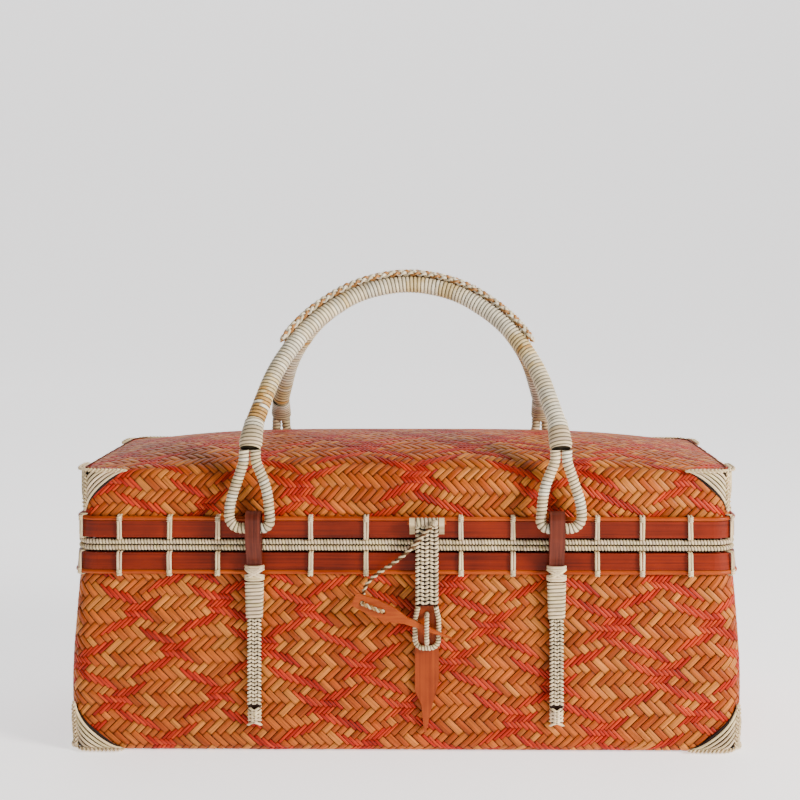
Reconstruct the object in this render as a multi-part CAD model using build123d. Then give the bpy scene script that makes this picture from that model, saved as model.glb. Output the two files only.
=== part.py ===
"""Hinged-lid basket box bag with two swinging bow handles and a peg clasp.

Millimetres, +Z up, +X along the bag's length, -Y its front. The origin is
the centre of the flat underside.
"""
import math
import os

from build123d import *

os.makedirs("parts", exist_ok=True)

# ---------------------------------------------------------------- dimensions

# Woven body: length and depth at the base, at the belly and at the rim
base_length = 375.0
base_depth = 150.0
belly_length = 377.0
belly_depth = 153.0
belly_height = 52.0
rim_length = 368.0
rim_depth = 146.0
corner_radius = 12.0
wall = 2.2

# Seam between body and lid, and the lid's crown as stations that step in: height,
# inset of the ends, inset of the long sides, corner radius
seam_height = 116.0
seam_gap = 0.4
shoulder_height = 158.0
crown_stations = (
    (shoulder_height, 0.0, 0.0, 12.0),
    (161.4, 10.0, 6.0, 13.0),
    (164.8, 28.0, 15.0, 15.0),
    (168.0, 54.0, 28.0, 17.0),
    (170.0, 84.0, 43.0, 17.0),
    (171.0, 112.0, 57.0, 12.0),
)

# Rim dressing: flat band, inner lining, rod, edge coil and the ties round them
band_height = 9.2
band_thickness = 1.8
lining_thickness = 1.5
rod_diameter = 2.4
coil_diameter = 3.0
coil_overhang = 0.4
tie_width = 2.6
tie_thickness = 0.8
lay_gap = 0.15
front_ties = (-160.0, -132.0, -105.0, -53.0, -22.0, 31.0, 60.0, 107.0, 132.0, 159.0)
back_ties = (-160.0, -108.0, -58.0, -30.0, 30.0, 58.0, 108.0, 160.0)
end_ties = (-42.0, -14.0, 14.0, 42.0)

# Corner lashings: skins of cane strands over the eight corners
lashing_thickness = 1.6
body_lashing_reach = 29.0
lid_lashing_reach = 25.0

# Back hinge: cane rods in cane eyelets
hinge_offset = 7.5
hinge_rod_diameter = 3.0
hinge_rod_length = 27.0
hinge_stations = (-132.0, 0.0, 132.0)
hinge_clearance = 0.3
eyelet_width = 3.0
eyelet_rim = 1.2
body_eyelets = (-9.0, 9.0)
lid_eyelets = (-4.0, 4.0)

# Straps that hold the handle rings
strap_spacing = 168.0
strap_width = 8.4
strap_thickness = 1.2
strap_slack = 5.4
front_pivot_height = 127.0
back_pivot_height = 103.5
strap_knee = 19.0
binding_height = 20.0
binding_wall = 1.0
cross_tie_drop = 2.2
cross_tie_height = 8.0
cross_tie_gap = 1.2
plait_width = 7.8
plait_thickness = 4.0
plait_length = 50.0
back_plait_length = 38.0
end_knot_width = 9.4
end_knot_height = 10.0
end_knot_thickness = 5.0

# Handle rings: wrapped cane teardrops
ring_diameter = 6.0
ring_clearance = 0.5
ring_inner_reach = 9.3
ring_outer_reach = 13.6
ring_inner_corner = 4.4
ring_outer_corner = 7.0
ring_waist = 22.0
ring_heel = 13.0
ring_neck = 6.0
ring_inner_slant = 1.8
fork_height = 170.0
fork_lean = 3.0

# Handle bows: wrapped cane hoops that lean together over the lid
bow_diameter = 10.0
bow_half_span = 86.5
bow_base_height = 169.0
bow_top_height = 262.0
bow_top_gap = 3.0
bow_angles = (9.0, 29.0, 49.0, 69.5, 90.0, 110.5, 131.0, 151.0, 171.0)
fork_binding_swell = 0.6
fork_seat = 0.5
ridge_diameter = 5.2

# Clasp: hinged tab, staple, tongue plate, peg and its tether
clasp_x = 12.0
tab_width = 12.8
tab_thickness = 3.0
tab_pin_height = 130.0
tab_pin_diameter = 2.4
tab_barrel_wall = 1.3
tab_bottom = 84.0
tab_gap = 0.5
tab_loop_width = 16.0
tab_loop_bottom = 58.8
tab_loop_wire = 3.0
tab_loop_seat = 0.5
tongue_width = 13.4
tongue_thickness = 2.2
tongue_top = 96.0
tongue_point = 13.0
staple_wire = 2.6
staple_top = 80.0
staple_bottom = 62.6
staple_tail = 1.0
peg_thickness = 2.6
peg_gap = 0.45
peg_butt = (-28.4, 88.0)
peg_slope = -21.6
peg_holes = (5.0, 17.4)
peg_hole_diameter = 3.1
tether_diameter = 2.2
tether_bead_diameter = 4.0
tether_bead = (16.4, 130.5)

# ---------------------------------------------------------- derived positions

half_rim_length = rim_length / 2
half_rim_depth = rim_depth / 2
coil_radius = coil_diameter / 2
rod_radius = rod_diameter / 2
body_coil_height = seam_height - seam_gap / 2 - coil_radius
lid_coil_height = seam_height + seam_gap / 2 + coil_radius
body_top = body_coil_height - coil_radius - tie_thickness - 2 * lay_gap
lid_bottom = lid_coil_height + coil_radius + tie_thickness + 2 * lay_gap
body_band_bottom = body_top - band_height
lid_band_top = lid_bottom + band_height
body_rod_height = body_band_bottom - lay_gap - rod_radius
lid_rod_height = lid_band_top + lay_gap + rod_radius
hinge_y = half_rim_depth + hinge_offset
strap_x = strap_spacing / 2
strap_face = belly_depth / 2 + lay_gap


def body_size(height):
    """Length and depth of the body's outer face at a height."""
    if height < belly_height:
        share = height / belly_height
        length = base_length + share * (belly_length - base_length)
        depth = base_depth + share * (belly_depth - base_depth)
        return length, depth
    share = (height - belly_height) / (body_top - belly_height)
    length = belly_length + share * (rim_length - belly_length)
    depth = belly_depth + share * (rim_depth - belly_depth)
    return length, depth


# ------------------------------------------------------------------- helpers


def save(node, shape):
    """Write one node, as a solid or as a group of separate solids."""
    solids = shape.solids()
    export_step(solids[0] if len(solids) == 1 else Compound(solids), f"parts/{node}.step")


def body_form(low, high, grow):
    """Solid of the body's outer form between two heights, grown by a distance."""
    heights = [low]
    if low < belly_height < high:
        heights.append(belly_height)
    heights.append(high)
    sections = []
    for height in heights:
        length, depth = body_size(height)
        outline = RectangleRounded(length + 2 * grow, depth + 2 * grow, corner_radius + grow)
        sections.append(Pos(0, 0, height) * outline)
    return loft(sections, ruled=True)


def lid_form(low, grow):
    """Solid of the lid's outer form above a height, grown by a distance."""
    stations = [(low, 0.0, 0.0, corner_radius)]
    for height, end_inset, side_inset, radius in crown_stations:
        stations.append((height + grow, end_inset, side_inset, radius))
    sections = []
    for height, end_inset, side_inset, radius in stations:
        length = rim_length - 2 * end_inset + 2 * grow
        depth = rim_depth - 2 * side_inset + 2 * grow
        sections.append(Pos(0, 0, height) * RectangleRounded(length, depth, radius + grow))
    return loft(sections, ruled=True)


def straight_hoop(low, high, grow, thickness):
    """Rounded rectangular hoop with upright walls, laid on the lid's walls."""
    outer = RectangleRounded(
        rim_length + 2 * (grow + thickness),
        rim_depth + 2 * (grow + thickness),
        corner_radius + grow + thickness,
    )
    inner = RectangleRounded(rim_length + 2 * grow, rim_depth + 2 * grow, corner_radius + grow)
    return extrude(Pos(0, 0, low) * (outer - inner), high - low)


def tube(path, diameter):
    """Round tube along a path."""
    return sweep(Plane(path @ 0, z_dir=path % 0) * Circle(diameter / 2), path=path)


def round_hoop(length, depth, radius, height, diameter):
    """Round cane bent to a rounded rectangle at a height."""
    outline = Pos(0, 0, height) * RectangleRounded(length, depth, radius)
    return tube(outline.wire(), diameter)


def easy_radii(points):
    """Largest tangent arc at each inner point that leaves a short straight."""
    radii = []
    for before, point, after in zip(points, points[1:], points[2:]):
        run_in = Vector(*point) - Vector(*before)
        run_out = Vector(*after) - Vector(*point)
        half_turn = math.radians(run_in.get_angle(run_out)) / 2
        radii.append(0.45 * min(run_in.length, run_out.length) / math.tan(half_turn))
    return radii


def on_front(station):
    return Pos(station, -half_rim_depth, 0) * Rot(0, 0, 180)


def on_back(station):
    return Pos(station, half_rim_depth, 0)


def on_right(station):
    return Pos(half_rim_length, station, 0) * Rot(0, 0, -90)


def on_left(station):
    return Pos(-half_rim_length, station, 0) * Rot(0, 0, 90)


def tie_places():
    """Where each rim tie sits: its local +Y points out of the wall."""
    places = [on_front(station) for station in front_ties]
    places += [on_back(station) for station in back_ties]
    places += [on_right(station) for station in end_ties]
    places += [on_left(station) for station in end_ties]
    return places


def span_box(x_low, x_high, y_low, y_high, z_low, z_high):
    """Box between two corners."""
    size = (x_high - x_low, y_high - y_low, z_high - z_low)
    centre = ((x_high + x_low) / 2, (y_high + y_low) / 2, (z_high + z_low) / 2)
    return Pos(*centre) * Box(*size)


def tie_loop(inner_face, outer_face, low, high):
    """Closed rectangular loop round the rim, on a wall whose face is at y = 0."""
    half = tie_width / 2
    t = tie_thickness
    outer = span_box(-half, half, inner_face - t, outer_face + t, low, high)
    return outer - span_box(-half, half, inner_face, outer_face, low + t, high - t)


def tie_slot(height):
    """Cut through a wall that one strand of a tie passes."""
    half = tie_width / 2 + lay_gap
    t = tie_thickness / 2 + lay_gap
    reach = wall + lining_thickness + rod_diameter
    return span_box(-half, half, -reach, reach, height - t, height + t)


def eyelet(axis, tail_face, tail_low, tail_high, bore, station):
    """Cane eye round a pin with a leaf that lies against a wall, cut across X."""
    axis_y, axis_z = axis
    rim = bore + eyelet_rim
    neck = Polygon(
        (axis_y, axis_z + rim * 0.7),
        (tail_face, tail_high),
        (tail_face, tail_low),
        (axis_y, axis_z - rim * 0.7),
        align=None,
    )
    eye = Pos(axis_y, axis_z) * Circle(rim) + neck - Pos(axis_y, axis_z) * Circle(bore)
    return Pos(station, 0, 0) * extrude(Plane.YZ * eye, eyelet_width / 2, both=True)


# ---------------------------------------------------------------- woven body

tie_slot_low = body_rod_height - rod_radius - lay_gap - tie_thickness / 2
tie_slot_high = lid_rod_height + rod_radius + lay_gap + tie_thickness / 2

body_shell = body_form(0, body_top, 0) - body_form(wall, body_top, -wall)
for place in tie_places():
    body_shell -= place * tie_slot(tie_slot_low)
save("body_shell", body_shell)

band_outer = lay_gap + band_thickness
body_band = body_form(body_band_bottom, body_top, band_outer)
body_band -= body_form(body_band_bottom, body_top, lay_gap)
save("body_rim_band", body_band)

lining_low = tie_slot_low + tie_thickness / 2 + lay_gap
lining_outer = -wall - lay_gap
body_lining = body_form(lining_low, body_top, lining_outer)
body_lining -= body_form(lining_low, body_top, lining_outer - lining_thickness)
save("body_rim_lining", body_lining)

rod_length, rod_depth = body_size(body_rod_height - rod_radius)
rod_grow = lay_gap + rod_radius
save(
    "body_rim_rod",
    round_hoop(
        rod_length + 2 * rod_grow,
        rod_depth + 2 * rod_grow,
        corner_radius + rod_grow,
        body_rod_height,
        rod_diameter,
    ),
)

coil_length = rim_length + 2 * coil_overhang
coil_depth = rim_depth + 2 * coil_overhang
coil_corner = corner_radius + coil_overhang
save(
    "body_edge_coil",
    round_hoop(coil_length, coil_depth, coil_corner, body_coil_height, coil_diameter),
)

tie_inner = -wall - lining_thickness - 2 * lay_gap
tie_body_outer = (rod_length - rim_length) / 2 + lay_gap + rod_diameter + lay_gap
tie_body_low = tie_slot_low - tie_thickness / 2
tie_body_high = body_top + lay_gap + tie_thickness
body_tie = tie_loop(tie_inner, tie_body_outer, tie_body_low, tie_body_high)
save("body_rim_ties", Compound([place * body_tie.solid() for place in tie_places()]))

lashing_skin = body_form(0, body_band_bottom, lashing_thickness)
lashing_skin -= body_form(0, body_band_bottom, lay_gap)
corner_names = {"left": -1, "right": 1}
side_names = {"front": -1, "back": 1}
for side, y_sign in side_names.items():
    for end, x_sign in corner_names.items():
        corner = Pos(x_sign * base_length / 2, y_sign * base_depth / 2, 0)
        lashing = lashing_skin & corner * Sphere(body_lashing_reach)
        save(f"body_corner_lashing_{side}_{end}", lashing)

# ----------------------------------------------------------------- woven lid

lid_shell = lid_form(lid_bottom, 0) - lid_form(lid_bottom, -wall)
for place in tie_places():
    lid_shell -= place * tie_slot(tie_slot_high)
save("lid_shell", lid_shell)

save("lid_rim_band", straight_hoop(lid_bottom, lid_band_top, lay_gap, band_thickness))

lining_high = tie_slot_high - tie_thickness / 2 - lay_gap
lid_lining = straight_hoop(
    lid_bottom, lining_high, lining_outer - lining_thickness, lining_thickness
)
save("lid_rim_lining", lid_lining)

save(
    "lid_rim_rod",
    round_hoop(
        rim_length + 2 * rod_grow,
        rim_depth + 2 * rod_grow,
        corner_radius + rod_grow,
        lid_rod_height,
        rod_diameter,
    ),
)

save(
    "lid_edge_coil",
    round_hoop(coil_length, coil_depth, coil_corner, lid_coil_height, coil_diameter),
)

tie_lid_outer = lay_gap + rod_diameter + lay_gap
tie_lid_low = lid_bottom - lay_gap - tie_thickness
tie_lid_high = tie_slot_high + tie_thickness / 2
lid_tie = tie_loop(tie_inner, tie_lid_outer, tie_lid_low, tie_lid_high)
save("lid_rim_ties", Compound([place * lid_tie.solid() for place in tie_places()]))

lid_skin_low = lid_rod_height + rod_radius + lay_gap
lid_skin = lid_form(lid_skin_low, lashing_thickness) - lid_form(lid_skin_low, lay_gap)
for side, y_sign in side_names.items():
    for end, x_sign in corner_names.items():
        corner = Pos(x_sign * half_rim_length, y_sign * half_rim_depth, shoulder_height)
        lashing = lid_skin & corner * Sphere(lid_lashing_reach)
        save(f"lid_corner_lashing_{side}_{end}", lashing)

# ---------------------------------------------------------------- back hinge

hinge_axis = (hinge_y, seam_height)
hinge_rod_radius = hinge_rod_diameter / 2
band_face = half_rim_depth + band_outer + lay_gap
body_leaf_face = body_size(body_band_bottom)[1] / 2 + band_outer + lay_gap

rods = []
body_eyes = []
lid_eyes = []
for station in hinge_stations:
    rod = Pos(station, *hinge_axis) * Rot(0, 90, 0) * Cylinder(hinge_rod_radius, hinge_rod_length)
    rods.append(rod.solid())
    for offset in body_eyelets:
        eye = eyelet(
            hinge_axis,
            body_leaf_face,
            body_band_bottom,
            body_top,
            hinge_rod_radius + lay_gap,
            station + offset,
        )
        body_eyes.append(eye.solid())
    for offset in lid_eyelets:
        eye = eyelet(
            hinge_axis,
            band_face,
            lid_bottom,
            lid_band_top,
            hinge_rod_radius + hinge_clearance,
            station + offset,
        )
        lid_eyes.append(eye.solid())
save("hinge_rods", Compound(rods))
save("hinge_body_eyelets", Compound(body_eyes))
save("hinge_lid_eyelets", Compound(lid_eyes))

# -------------------------------------------------------------------- straps

ring_radius = ring_diameter / 2
back_leaf_y = strap_face + binding_wall + lay_gap + strap_thickness / 2
front_leaf_y = back_leaf_y + strap_thickness + lay_gap
pivot_y = back_leaf_y + strap_thickness / 2 + ring_clearance + ring_radius
fold_front_y = pivot_y + ring_radius + ring_clearance + strap_thickness / 2
binding_outer_y = front_leaf_y + strap_thickness / 2 + lay_gap + binding_wall


def strap_fold(pivot_height):
    """Flat strip folded over the ring, both ends running down into the binding."""
    top = pivot_height + ring_radius + strap_slack + strap_thickness / 2
    knee = pivot_height - strap_knee
    bottom = knee - cross_tie_drop - cross_tie_height - cross_tie_gap - binding_height
    bend = (fold_front_y - back_leaf_y) / 2 - 0.05
    path = FilletPolyline(
        (back_leaf_y, bottom),
        (back_leaf_y, top),
        (fold_front_y, top),
        (fold_front_y, pivot_height - ring_diameter),
        (front_leaf_y, knee),
        (front_leaf_y, bottom),
        radius=(bend, bend, 6.0, 6.0),
    )
    return extrude(Plane.YZ * trace(path, strap_thickness), strap_width / 2, both=True)


def strap_sleeve(low, high):
    """Wrapped sleeve round both ends of a strap fold."""
    half = strap_width / 2 + lay_gap + binding_wall
    hole_half = strap_width / 2 + lay_gap
    sleeve = span_box(-half, half, strap_face, binding_outer_y, low, high)
    hole_low = strap_face + binding_wall
    hole_high = binding_outer_y - binding_wall
    return sleeve - span_box(-hole_half, hole_half, hole_low, hole_high, low, high)


def strap_set(name, place, pivot_height, plait):
    """Save one strap: fold, cross tie, wrapped binding, plait and end knot."""
    tie_top = pivot_height - strap_knee - cross_tie_drop
    tie_bottom = tie_top - cross_tie_height
    binding_top = tie_bottom - cross_tie_gap
    binding_bottom = binding_top - binding_height
    plait_top = binding_bottom - lay_gap
    plait_bottom = plait_top - plait
    save(f"strap_fold_{name}", place * strap_fold(pivot_height))
    cross_tie = strap_sleeve(tie_bottom, tie_top).solid()
    binding = strap_sleeve(binding_bottom, binding_top).solid()
    save(f"strap_binding_{name}", Compound([place * cross_tie, place * binding]))
    half = plait_width / 2
    knot_half = end_knot_width / 2
    strand = span_box(
        -half, half, strap_face, strap_face + plait_thickness, plait_bottom, plait_top
    )
    knot = span_box(
        -knot_half,
        knot_half,
        strap_face,
        strap_face + end_knot_thickness,
        plait_bottom - end_knot_height,
        plait_bottom,
    )
    knot = fillet(knot.edges().group_by(Axis.Z)[0], 1.5)
    save(f"strap_plait_{name}", place * (fillet(strand.edges() | Axis.Z, 1.2) + knot))


for end, x_sign in corner_names.items():
    front_place = Pos(x_sign * strap_x, 0, 0) * Rot(0, 0, 180)
    back_place = Pos(x_sign * strap_x, 0, 0)
    strap_set(f"front_{end}", front_place, front_pivot_height, plait_length)
    strap_set(f"back_{end}", back_place, back_pivot_height, back_plait_length)

# ------------------------------------------------------------------- handles

fork_y = pivot_y - fork_lean
bow_radius = bow_diameter / 2
bow_top_y = bow_radius + bow_top_gap / 2
lean_run = fork_y - bow_top_y
lean_rise = bow_top_height - bow_base_height
lean_length = math.hypot(lean_run, lean_rise)
bow_plane = Plane(
    origin=(0, fork_y, bow_base_height),
    x_dir=(1, 0, 0),
    z_dir=(0, -lean_rise, -lean_run),
)


def bow_points():
    """Corner points of the hoop in its own leaning plane."""
    points = []
    for angle in bow_angles:
        turn = math.radians(angle)
        points.append((bow_half_span * math.cos(turn), lean_length * math.sin(turn)))
    return points


def outward(points, distance):
    """Parallel copy of a polyline's inner points, moved outward."""
    moved = []
    for before, point, after in zip(points, points[1:], points[2:]):
        run_in = (Vector(*point) - Vector(*before)).normalized()
        run_out = (Vector(*after) - Vector(*point)).normalized()
        normal = (run_in + run_out).normalized().rotate(Axis.Z, -90)
        half_turn = math.radians(run_in.get_angle(run_out)) / 2
        moved.append(Vector(*point) + normal * (distance / math.cos(half_turn)))
    return moved


def bow_and_ridge():
    """Wrapped hoop, and the plaited ridge along its crest."""
    points = bow_points()
    radii = easy_radii(points)
    bow = tube(bow_plane * FilletPolyline(*points, radius=radii), bow_diameter)
    rise = bow_radius + lay_gap + ridge_diameter / 2
    crest = outward(points, rise)
    first = (crest[0] + crest[1]) * 0.5
    last = (crest[-1] + crest[-2]) * 0.5
    route = [first] + crest[1:-1] + [last]
    ridge_radii = [radius + rise for radius in radii[1:-1]]
    ridge = tube(bow_plane * FilletPolyline(*route, radius=ridge_radii), ridge_diameter)
    return bow, ridge


def ring(pivot_height):
    """Teardrop ring on the +X side, its bottom run lying on the pivot axis."""
    inner = strap_x - ring_inner_reach
    outer = strap_x + ring_outer_reach
    neck = ring_radius + lay_gap

    def spot(x, height):
        share = (height - pivot_height) / (fork_height - pivot_height)
        return (x, pivot_y - share * fork_lean, height)

    points = [
        spot(bow_half_span - neck, fork_height),
        spot(bow_half_span - neck, fork_height - ring_neck),
        spot(inner + ring_inner_slant, fork_height - ring_waist),
        spot(inner, pivot_height),
        spot(outer, pivot_height),
        spot(outer, pivot_height + ring_heel),
        spot(bow_half_span + neck, fork_height - ring_neck),
        spot(bow_half_span + neck, fork_height),
    ]
    radii = easy_radii(points)
    radii[2] = ring_inner_corner
    radii[3] = ring_outer_corner
    return tube(FilletPolyline(*points, radius=radii), ring_diameter)


def fork_binding():
    """Tapered binding from the hoop's foot to the two legs of the +X ring."""
    foot_x, foot_rise = bow_points()[0]
    next_x, next_rise = bow_points()[1]
    foot = bow_plane.from_local_coords(Vector(foot_x, foot_rise, 0))
    upper = bow_plane.from_local_coords(Vector(next_x, next_rise, 0))
    direction = (upper - foot).normalized()
    top_plane = Plane(foot - direction * lay_gap, x_dir=(1, 0, 0), z_dir=direction)
    base_plane = Plane(
        (bow_half_span, fork_y, fork_height + fork_seat), x_dir=(1, 0, 0), z_dir=(0, 0, 1)
    )
    legs = Ellipse(ring_diameter + lay_gap + fork_binding_swell, ring_radius + fork_binding_swell)
    collar = Circle(bow_radius + fork_binding_swell)
    return loft([base_plane * legs, top_plane * collar])


def handle(name, to_side, pivot_height):
    """Save one handle: hoop, ridge, two rings and two fork bindings."""
    bow, ridge = bow_and_ridge()
    save(f"{name}_bow", to_side(bow))
    save(f"{name}_ridge_plait", to_side(ridge))
    right_ring = ring(pivot_height)
    right_binding = fork_binding()
    save(f"{name}_ring_right", to_side(right_ring))
    save(f"{name}_ring_left", to_side(mirror(right_ring, about=Plane.YZ)))
    save(f"{name}_fork_binding_right", to_side(right_binding))
    save(f"{name}_fork_binding_left", to_side(mirror(right_binding, about=Plane.YZ)))


handle("front_handle", lambda shape: mirror(shape, about=Plane.XZ), front_pivot_height)
handle("back_handle", lambda shape: shape, back_pivot_height)

# --------------------------------------------------------------------- clasp

tongue_face = strap_face + tongue_thickness
tab_back = tongue_face + tab_gap
tab_mid = tab_back + tab_thickness / 2
tab_front = tab_back + tab_thickness
barrel_radius = tab_pin_diameter / 2 + hinge_clearance + tab_barrel_wall
half_tongue = tongue_width / 2

# Tongue: a bamboo plate on the body wall, cut to a lopsided point
tongue_outline = Polygon(
    (clasp_x - half_tongue, tongue_top),
    (clasp_x - half_tongue, tongue_point + 23.0),
    (clasp_x - 3.0, tongue_point + 15.0),
    (clasp_x - 1.6, tongue_point),
    (clasp_x - 0.4, tongue_point),
    (clasp_x + 3.0, tongue_point + 15.0),
    (clasp_x + half_tongue, tongue_point + 28.0),
    (clasp_x + half_tongue, tongue_top),
    align=None,
)
tongue = Pos(0, -strap_face, 0) * extrude(Plane.XZ * tongue_outline, tongue_thickness)

# Staple: a cane loop through the tongue that stands out through the tab's loop
peg_back = tab_mid + tab_loop_wire / 2 + peg_gap
peg_front = peg_back + peg_thickness
staple_radius = staple_wire / 2
staple_crest = peg_front + peg_gap + staple_radius
staple_root = tongue_face - tongue_thickness + staple_tail
staple_path = FilletPolyline(
    (clasp_x, -staple_root, staple_top - staple_radius),
    (clasp_x, -staple_crest, staple_top - staple_radius),
    (clasp_x, -staple_crest, staple_bottom + staple_radius),
    (clasp_x, -staple_root, staple_bottom + staple_radius),
    radius=3.2,
)
staple = tube(staple_path, staple_wire)
for height in (staple_top - staple_radius, staple_bottom + staple_radius):
    socket = Pos(clasp_x, -strap_face, height) * Rot(90, 0, 0)
    tongue -= socket * Cylinder(staple_radius + lay_gap, 4 * tongue_thickness)
save("clasp_tongue", tongue)
save("clasp_staple", staple)

# Tab: hangs from a cane pin on the lid and ends in an open loop
half_tab = tab_width / 2
plate = span_box(
    clasp_x - half_tab, clasp_x + half_tab, -tab_front, -tab_back, tab_bottom, tab_pin_height
)
barrel_place = Pos(clasp_x, -tab_mid, tab_pin_height) * Rot(0, 90, 0)
tab = plate + barrel_place * Cylinder(barrel_radius, tab_width)
tab -= barrel_place * Cylinder(tab_pin_diameter / 2 + hinge_clearance, 2 * tab_width)
save("clasp_tab", tab)

leg_x = tab_loop_width / 2 - tab_loop_wire / 2
leg_top = tab_bottom - tab_loop_seat
leg_bottom = tab_loop_bottom + tab_loop_wire / 2
tab_loop_path = FilletPolyline(
    (clasp_x - leg_x + 1.6, -tab_mid, leg_top),
    (clasp_x - leg_x, -tab_mid, leg_top - 7.0),
    (clasp_x - leg_x, -tab_mid, leg_bottom),
    (clasp_x + leg_x, -tab_mid, leg_bottom),
    (clasp_x + leg_x, -tab_mid, leg_top - 7.0),
    (clasp_x + leg_x - 1.6, -tab_mid, leg_top),
    radius=(10.0, 5.0, 5.0, 10.0),
)
save("clasp_tab_loop", tube(tab_loop_path, tab_loop_wire))

pin_reach = half_tab + hinge_clearance + eyelet_width + 1.0
pin = Pos(clasp_x, -tab_mid, tab_pin_height) * Rot(0, 90, 0)
save("clasp_pin", pin * Cylinder(tab_pin_diameter / 2, 2 * pin_reach))

pin_eyes = []
for sign in (-1, 1):
    offset = sign * (half_tab + hinge_clearance + eyelet_width / 2)
    eye = eyelet(
        (tab_mid, tab_pin_height),
        band_face,
        lid_bottom + 2.0,
        lid_band_top,
        tab_pin_diameter / 2 + lay_gap,
        0,
    )
    pin_eyes.append((Pos(clasp_x + offset, 0, 0) * mirror(eye, about=Plane.XZ)).solid())
save("clasp_pin_eyelets", Compound(pin_eyes))

# Peg: a flat slanting toggle, held in front of the tab's loop by the staple
peg_outline = Polygon(
    (0.0, -3.4),
    (12.0, -4.7),
    (24.0, -4.0),
    (31.0, -2.0),
    (41.0, -1.4),
    (58.5, -0.2),
    (58.5, 0.2),
    (41.0, 1.3),
    (31.0, 1.7),
    (24.0, 4.0),
    (12.0, 4.9),
    (0.0, 3.8),
    align=None,
)
for hole in peg_holes:
    peg_outline -= Pos(hole, 0) * Circle(peg_hole_diameter / 2)
peg_place = Pos(peg_butt[0], -peg_back, peg_butt[1]) * Rot(0, -peg_slope, 0)
save("clasp_peg", peg_place * extrude(Plane.XZ * peg_outline, peg_thickness))

# Lacing: the cord's last turn across the peg, from hole to hole
lacing_crest = peg_thickness + 0.1 + tether_diameter / 2
lacing_path = FilletPolyline(
    (peg_holes[0], -peg_thickness / 2, 0),
    (peg_holes[0], -lacing_crest, 0),
    (peg_holes[1], -lacing_crest, 0),
    (peg_holes[1], 0.0, 0),
    radius=2.0,
)
save("clasp_peg_lacing", peg_place * tube(lacing_path, tether_diameter))

# Tether: a twisted cord from a bead on the tab to the peg
bead_y = tab_mid + barrel_radius + lay_gap + tether_bead_diameter / 2
bead_place = Pos(tether_bead[0], -bead_y, tether_bead[1])
save("clasp_tether_bead", bead_place * Sphere(tether_bead_diameter / 2))

hole_x = peg_butt[0] + peg_holes[0] * math.cos(math.radians(peg_slope))
hole_z = peg_butt[1] + peg_holes[0] * math.sin(math.radians(peg_slope))
tether_points = [
    (14.9, -85.2, 128.9),
    (9.5, -84.4, 123.6),
    (2.8, -83.9, 115.4),
    (-5.6, -83.6, 108.4),
    (-14.6, -83.2, 102.6),
    (-20.6, -82.4, 97.6),
    (hole_x + 0.4, -80.4, 91.9),
    (hole_x, -78.2, hole_z),
    (hole_x, -(peg_back + peg_thickness / 2 - 0.2), hole_z),
]
tether_path = FilletPolyline(*tether_points, radius=easy_radii(tether_points))
save("clasp_tether", tube(tether_path, tether_diameter))
print("tether bend radii", [round(radius, 1) for radius in easy_radii(tether_points)])
print("tether length", round(tether_path.length, 1))
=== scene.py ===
"""Looks of the basket box bag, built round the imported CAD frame. Metres throughout."""
import math

import bpy
import numpy as np
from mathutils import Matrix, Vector


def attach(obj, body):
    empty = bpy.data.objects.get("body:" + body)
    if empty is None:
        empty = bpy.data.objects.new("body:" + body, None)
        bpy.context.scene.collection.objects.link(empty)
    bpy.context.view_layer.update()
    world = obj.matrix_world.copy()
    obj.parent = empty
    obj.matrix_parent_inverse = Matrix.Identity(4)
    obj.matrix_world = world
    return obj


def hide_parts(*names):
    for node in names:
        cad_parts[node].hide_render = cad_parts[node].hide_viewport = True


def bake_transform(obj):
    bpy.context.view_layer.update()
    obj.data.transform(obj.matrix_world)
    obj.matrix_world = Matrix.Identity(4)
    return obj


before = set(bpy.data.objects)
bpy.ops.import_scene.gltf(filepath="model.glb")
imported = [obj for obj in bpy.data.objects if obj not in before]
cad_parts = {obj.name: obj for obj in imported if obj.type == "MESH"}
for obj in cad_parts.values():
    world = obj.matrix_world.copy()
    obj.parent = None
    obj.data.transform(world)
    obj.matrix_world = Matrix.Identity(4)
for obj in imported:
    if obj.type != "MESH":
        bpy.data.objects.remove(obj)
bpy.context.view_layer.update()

rng = np.random.default_rng(7)

# ---------------------------------------------------------------- dimensions

RIM_LENGTH, RIM_DEPTH, CORNER = 0.368, 0.146, 0.012
BODY_HEIGHTS = (0.0, 0.052, 0.1117)
BODY_LENGTHS = (0.375, 0.377, 0.368)
BODY_DEPTHS = (0.150, 0.153, 0.146)
BODY_TOP = 0.1117
BASE_ROUND = 0.005
LID_BOTTOM = 0.1203
SHOULDER = 0.158
CROWN_RISE = 0.0127
BODY_ROD_Z, LID_ROD_Z = 0.10115, 0.13085
BODY_COIL_Z, LID_COIL_Z = 0.1143, 0.1177
PIVOT_Y = 0.0825
FRONT_PIVOT_Z, BACK_PIVOT_Z = 0.127, 0.1035
STRAP_X = 0.084
STRAP_FACE = 0.07665
CLASP_X = 0.012
TONGUE_THICKNESS, TAB_GAP, TAB_THICKNESS = 0.0022, 0.0005, 0.003
TAB_MID = STRAP_FACE + TONGUE_THICKNESS + TAB_GAP + TAB_THICKNESS / 2
TILE_LIFT = -0.00042
LINING_DEPTH = -0.0019
SHEET_OUT, SHEET_IN = -0.0010, -0.0014

STRAIGHT_X = RIM_LENGTH - 2 * CORNER
STRAIGHT_Y = RIM_DEPTH - 2 * CORNER
QUARTER = CORNER * math.pi / 2
GIRTH = 2 * (STRAIGHT_X + STRAIGHT_Y) + 4 * QUARTER
CORNER_S = STRAIGHT_X / 2 + QUARTER / 2
HALF_GIRTH = GIRTH / 2
CORNERS_S = (CORNER_S, HALF_GIRTH - CORNER_S, HALF_GIRTH + CORNER_S, GIRTH - CORNER_S)


# ------------------------------------------------------------------ surfaces


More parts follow.
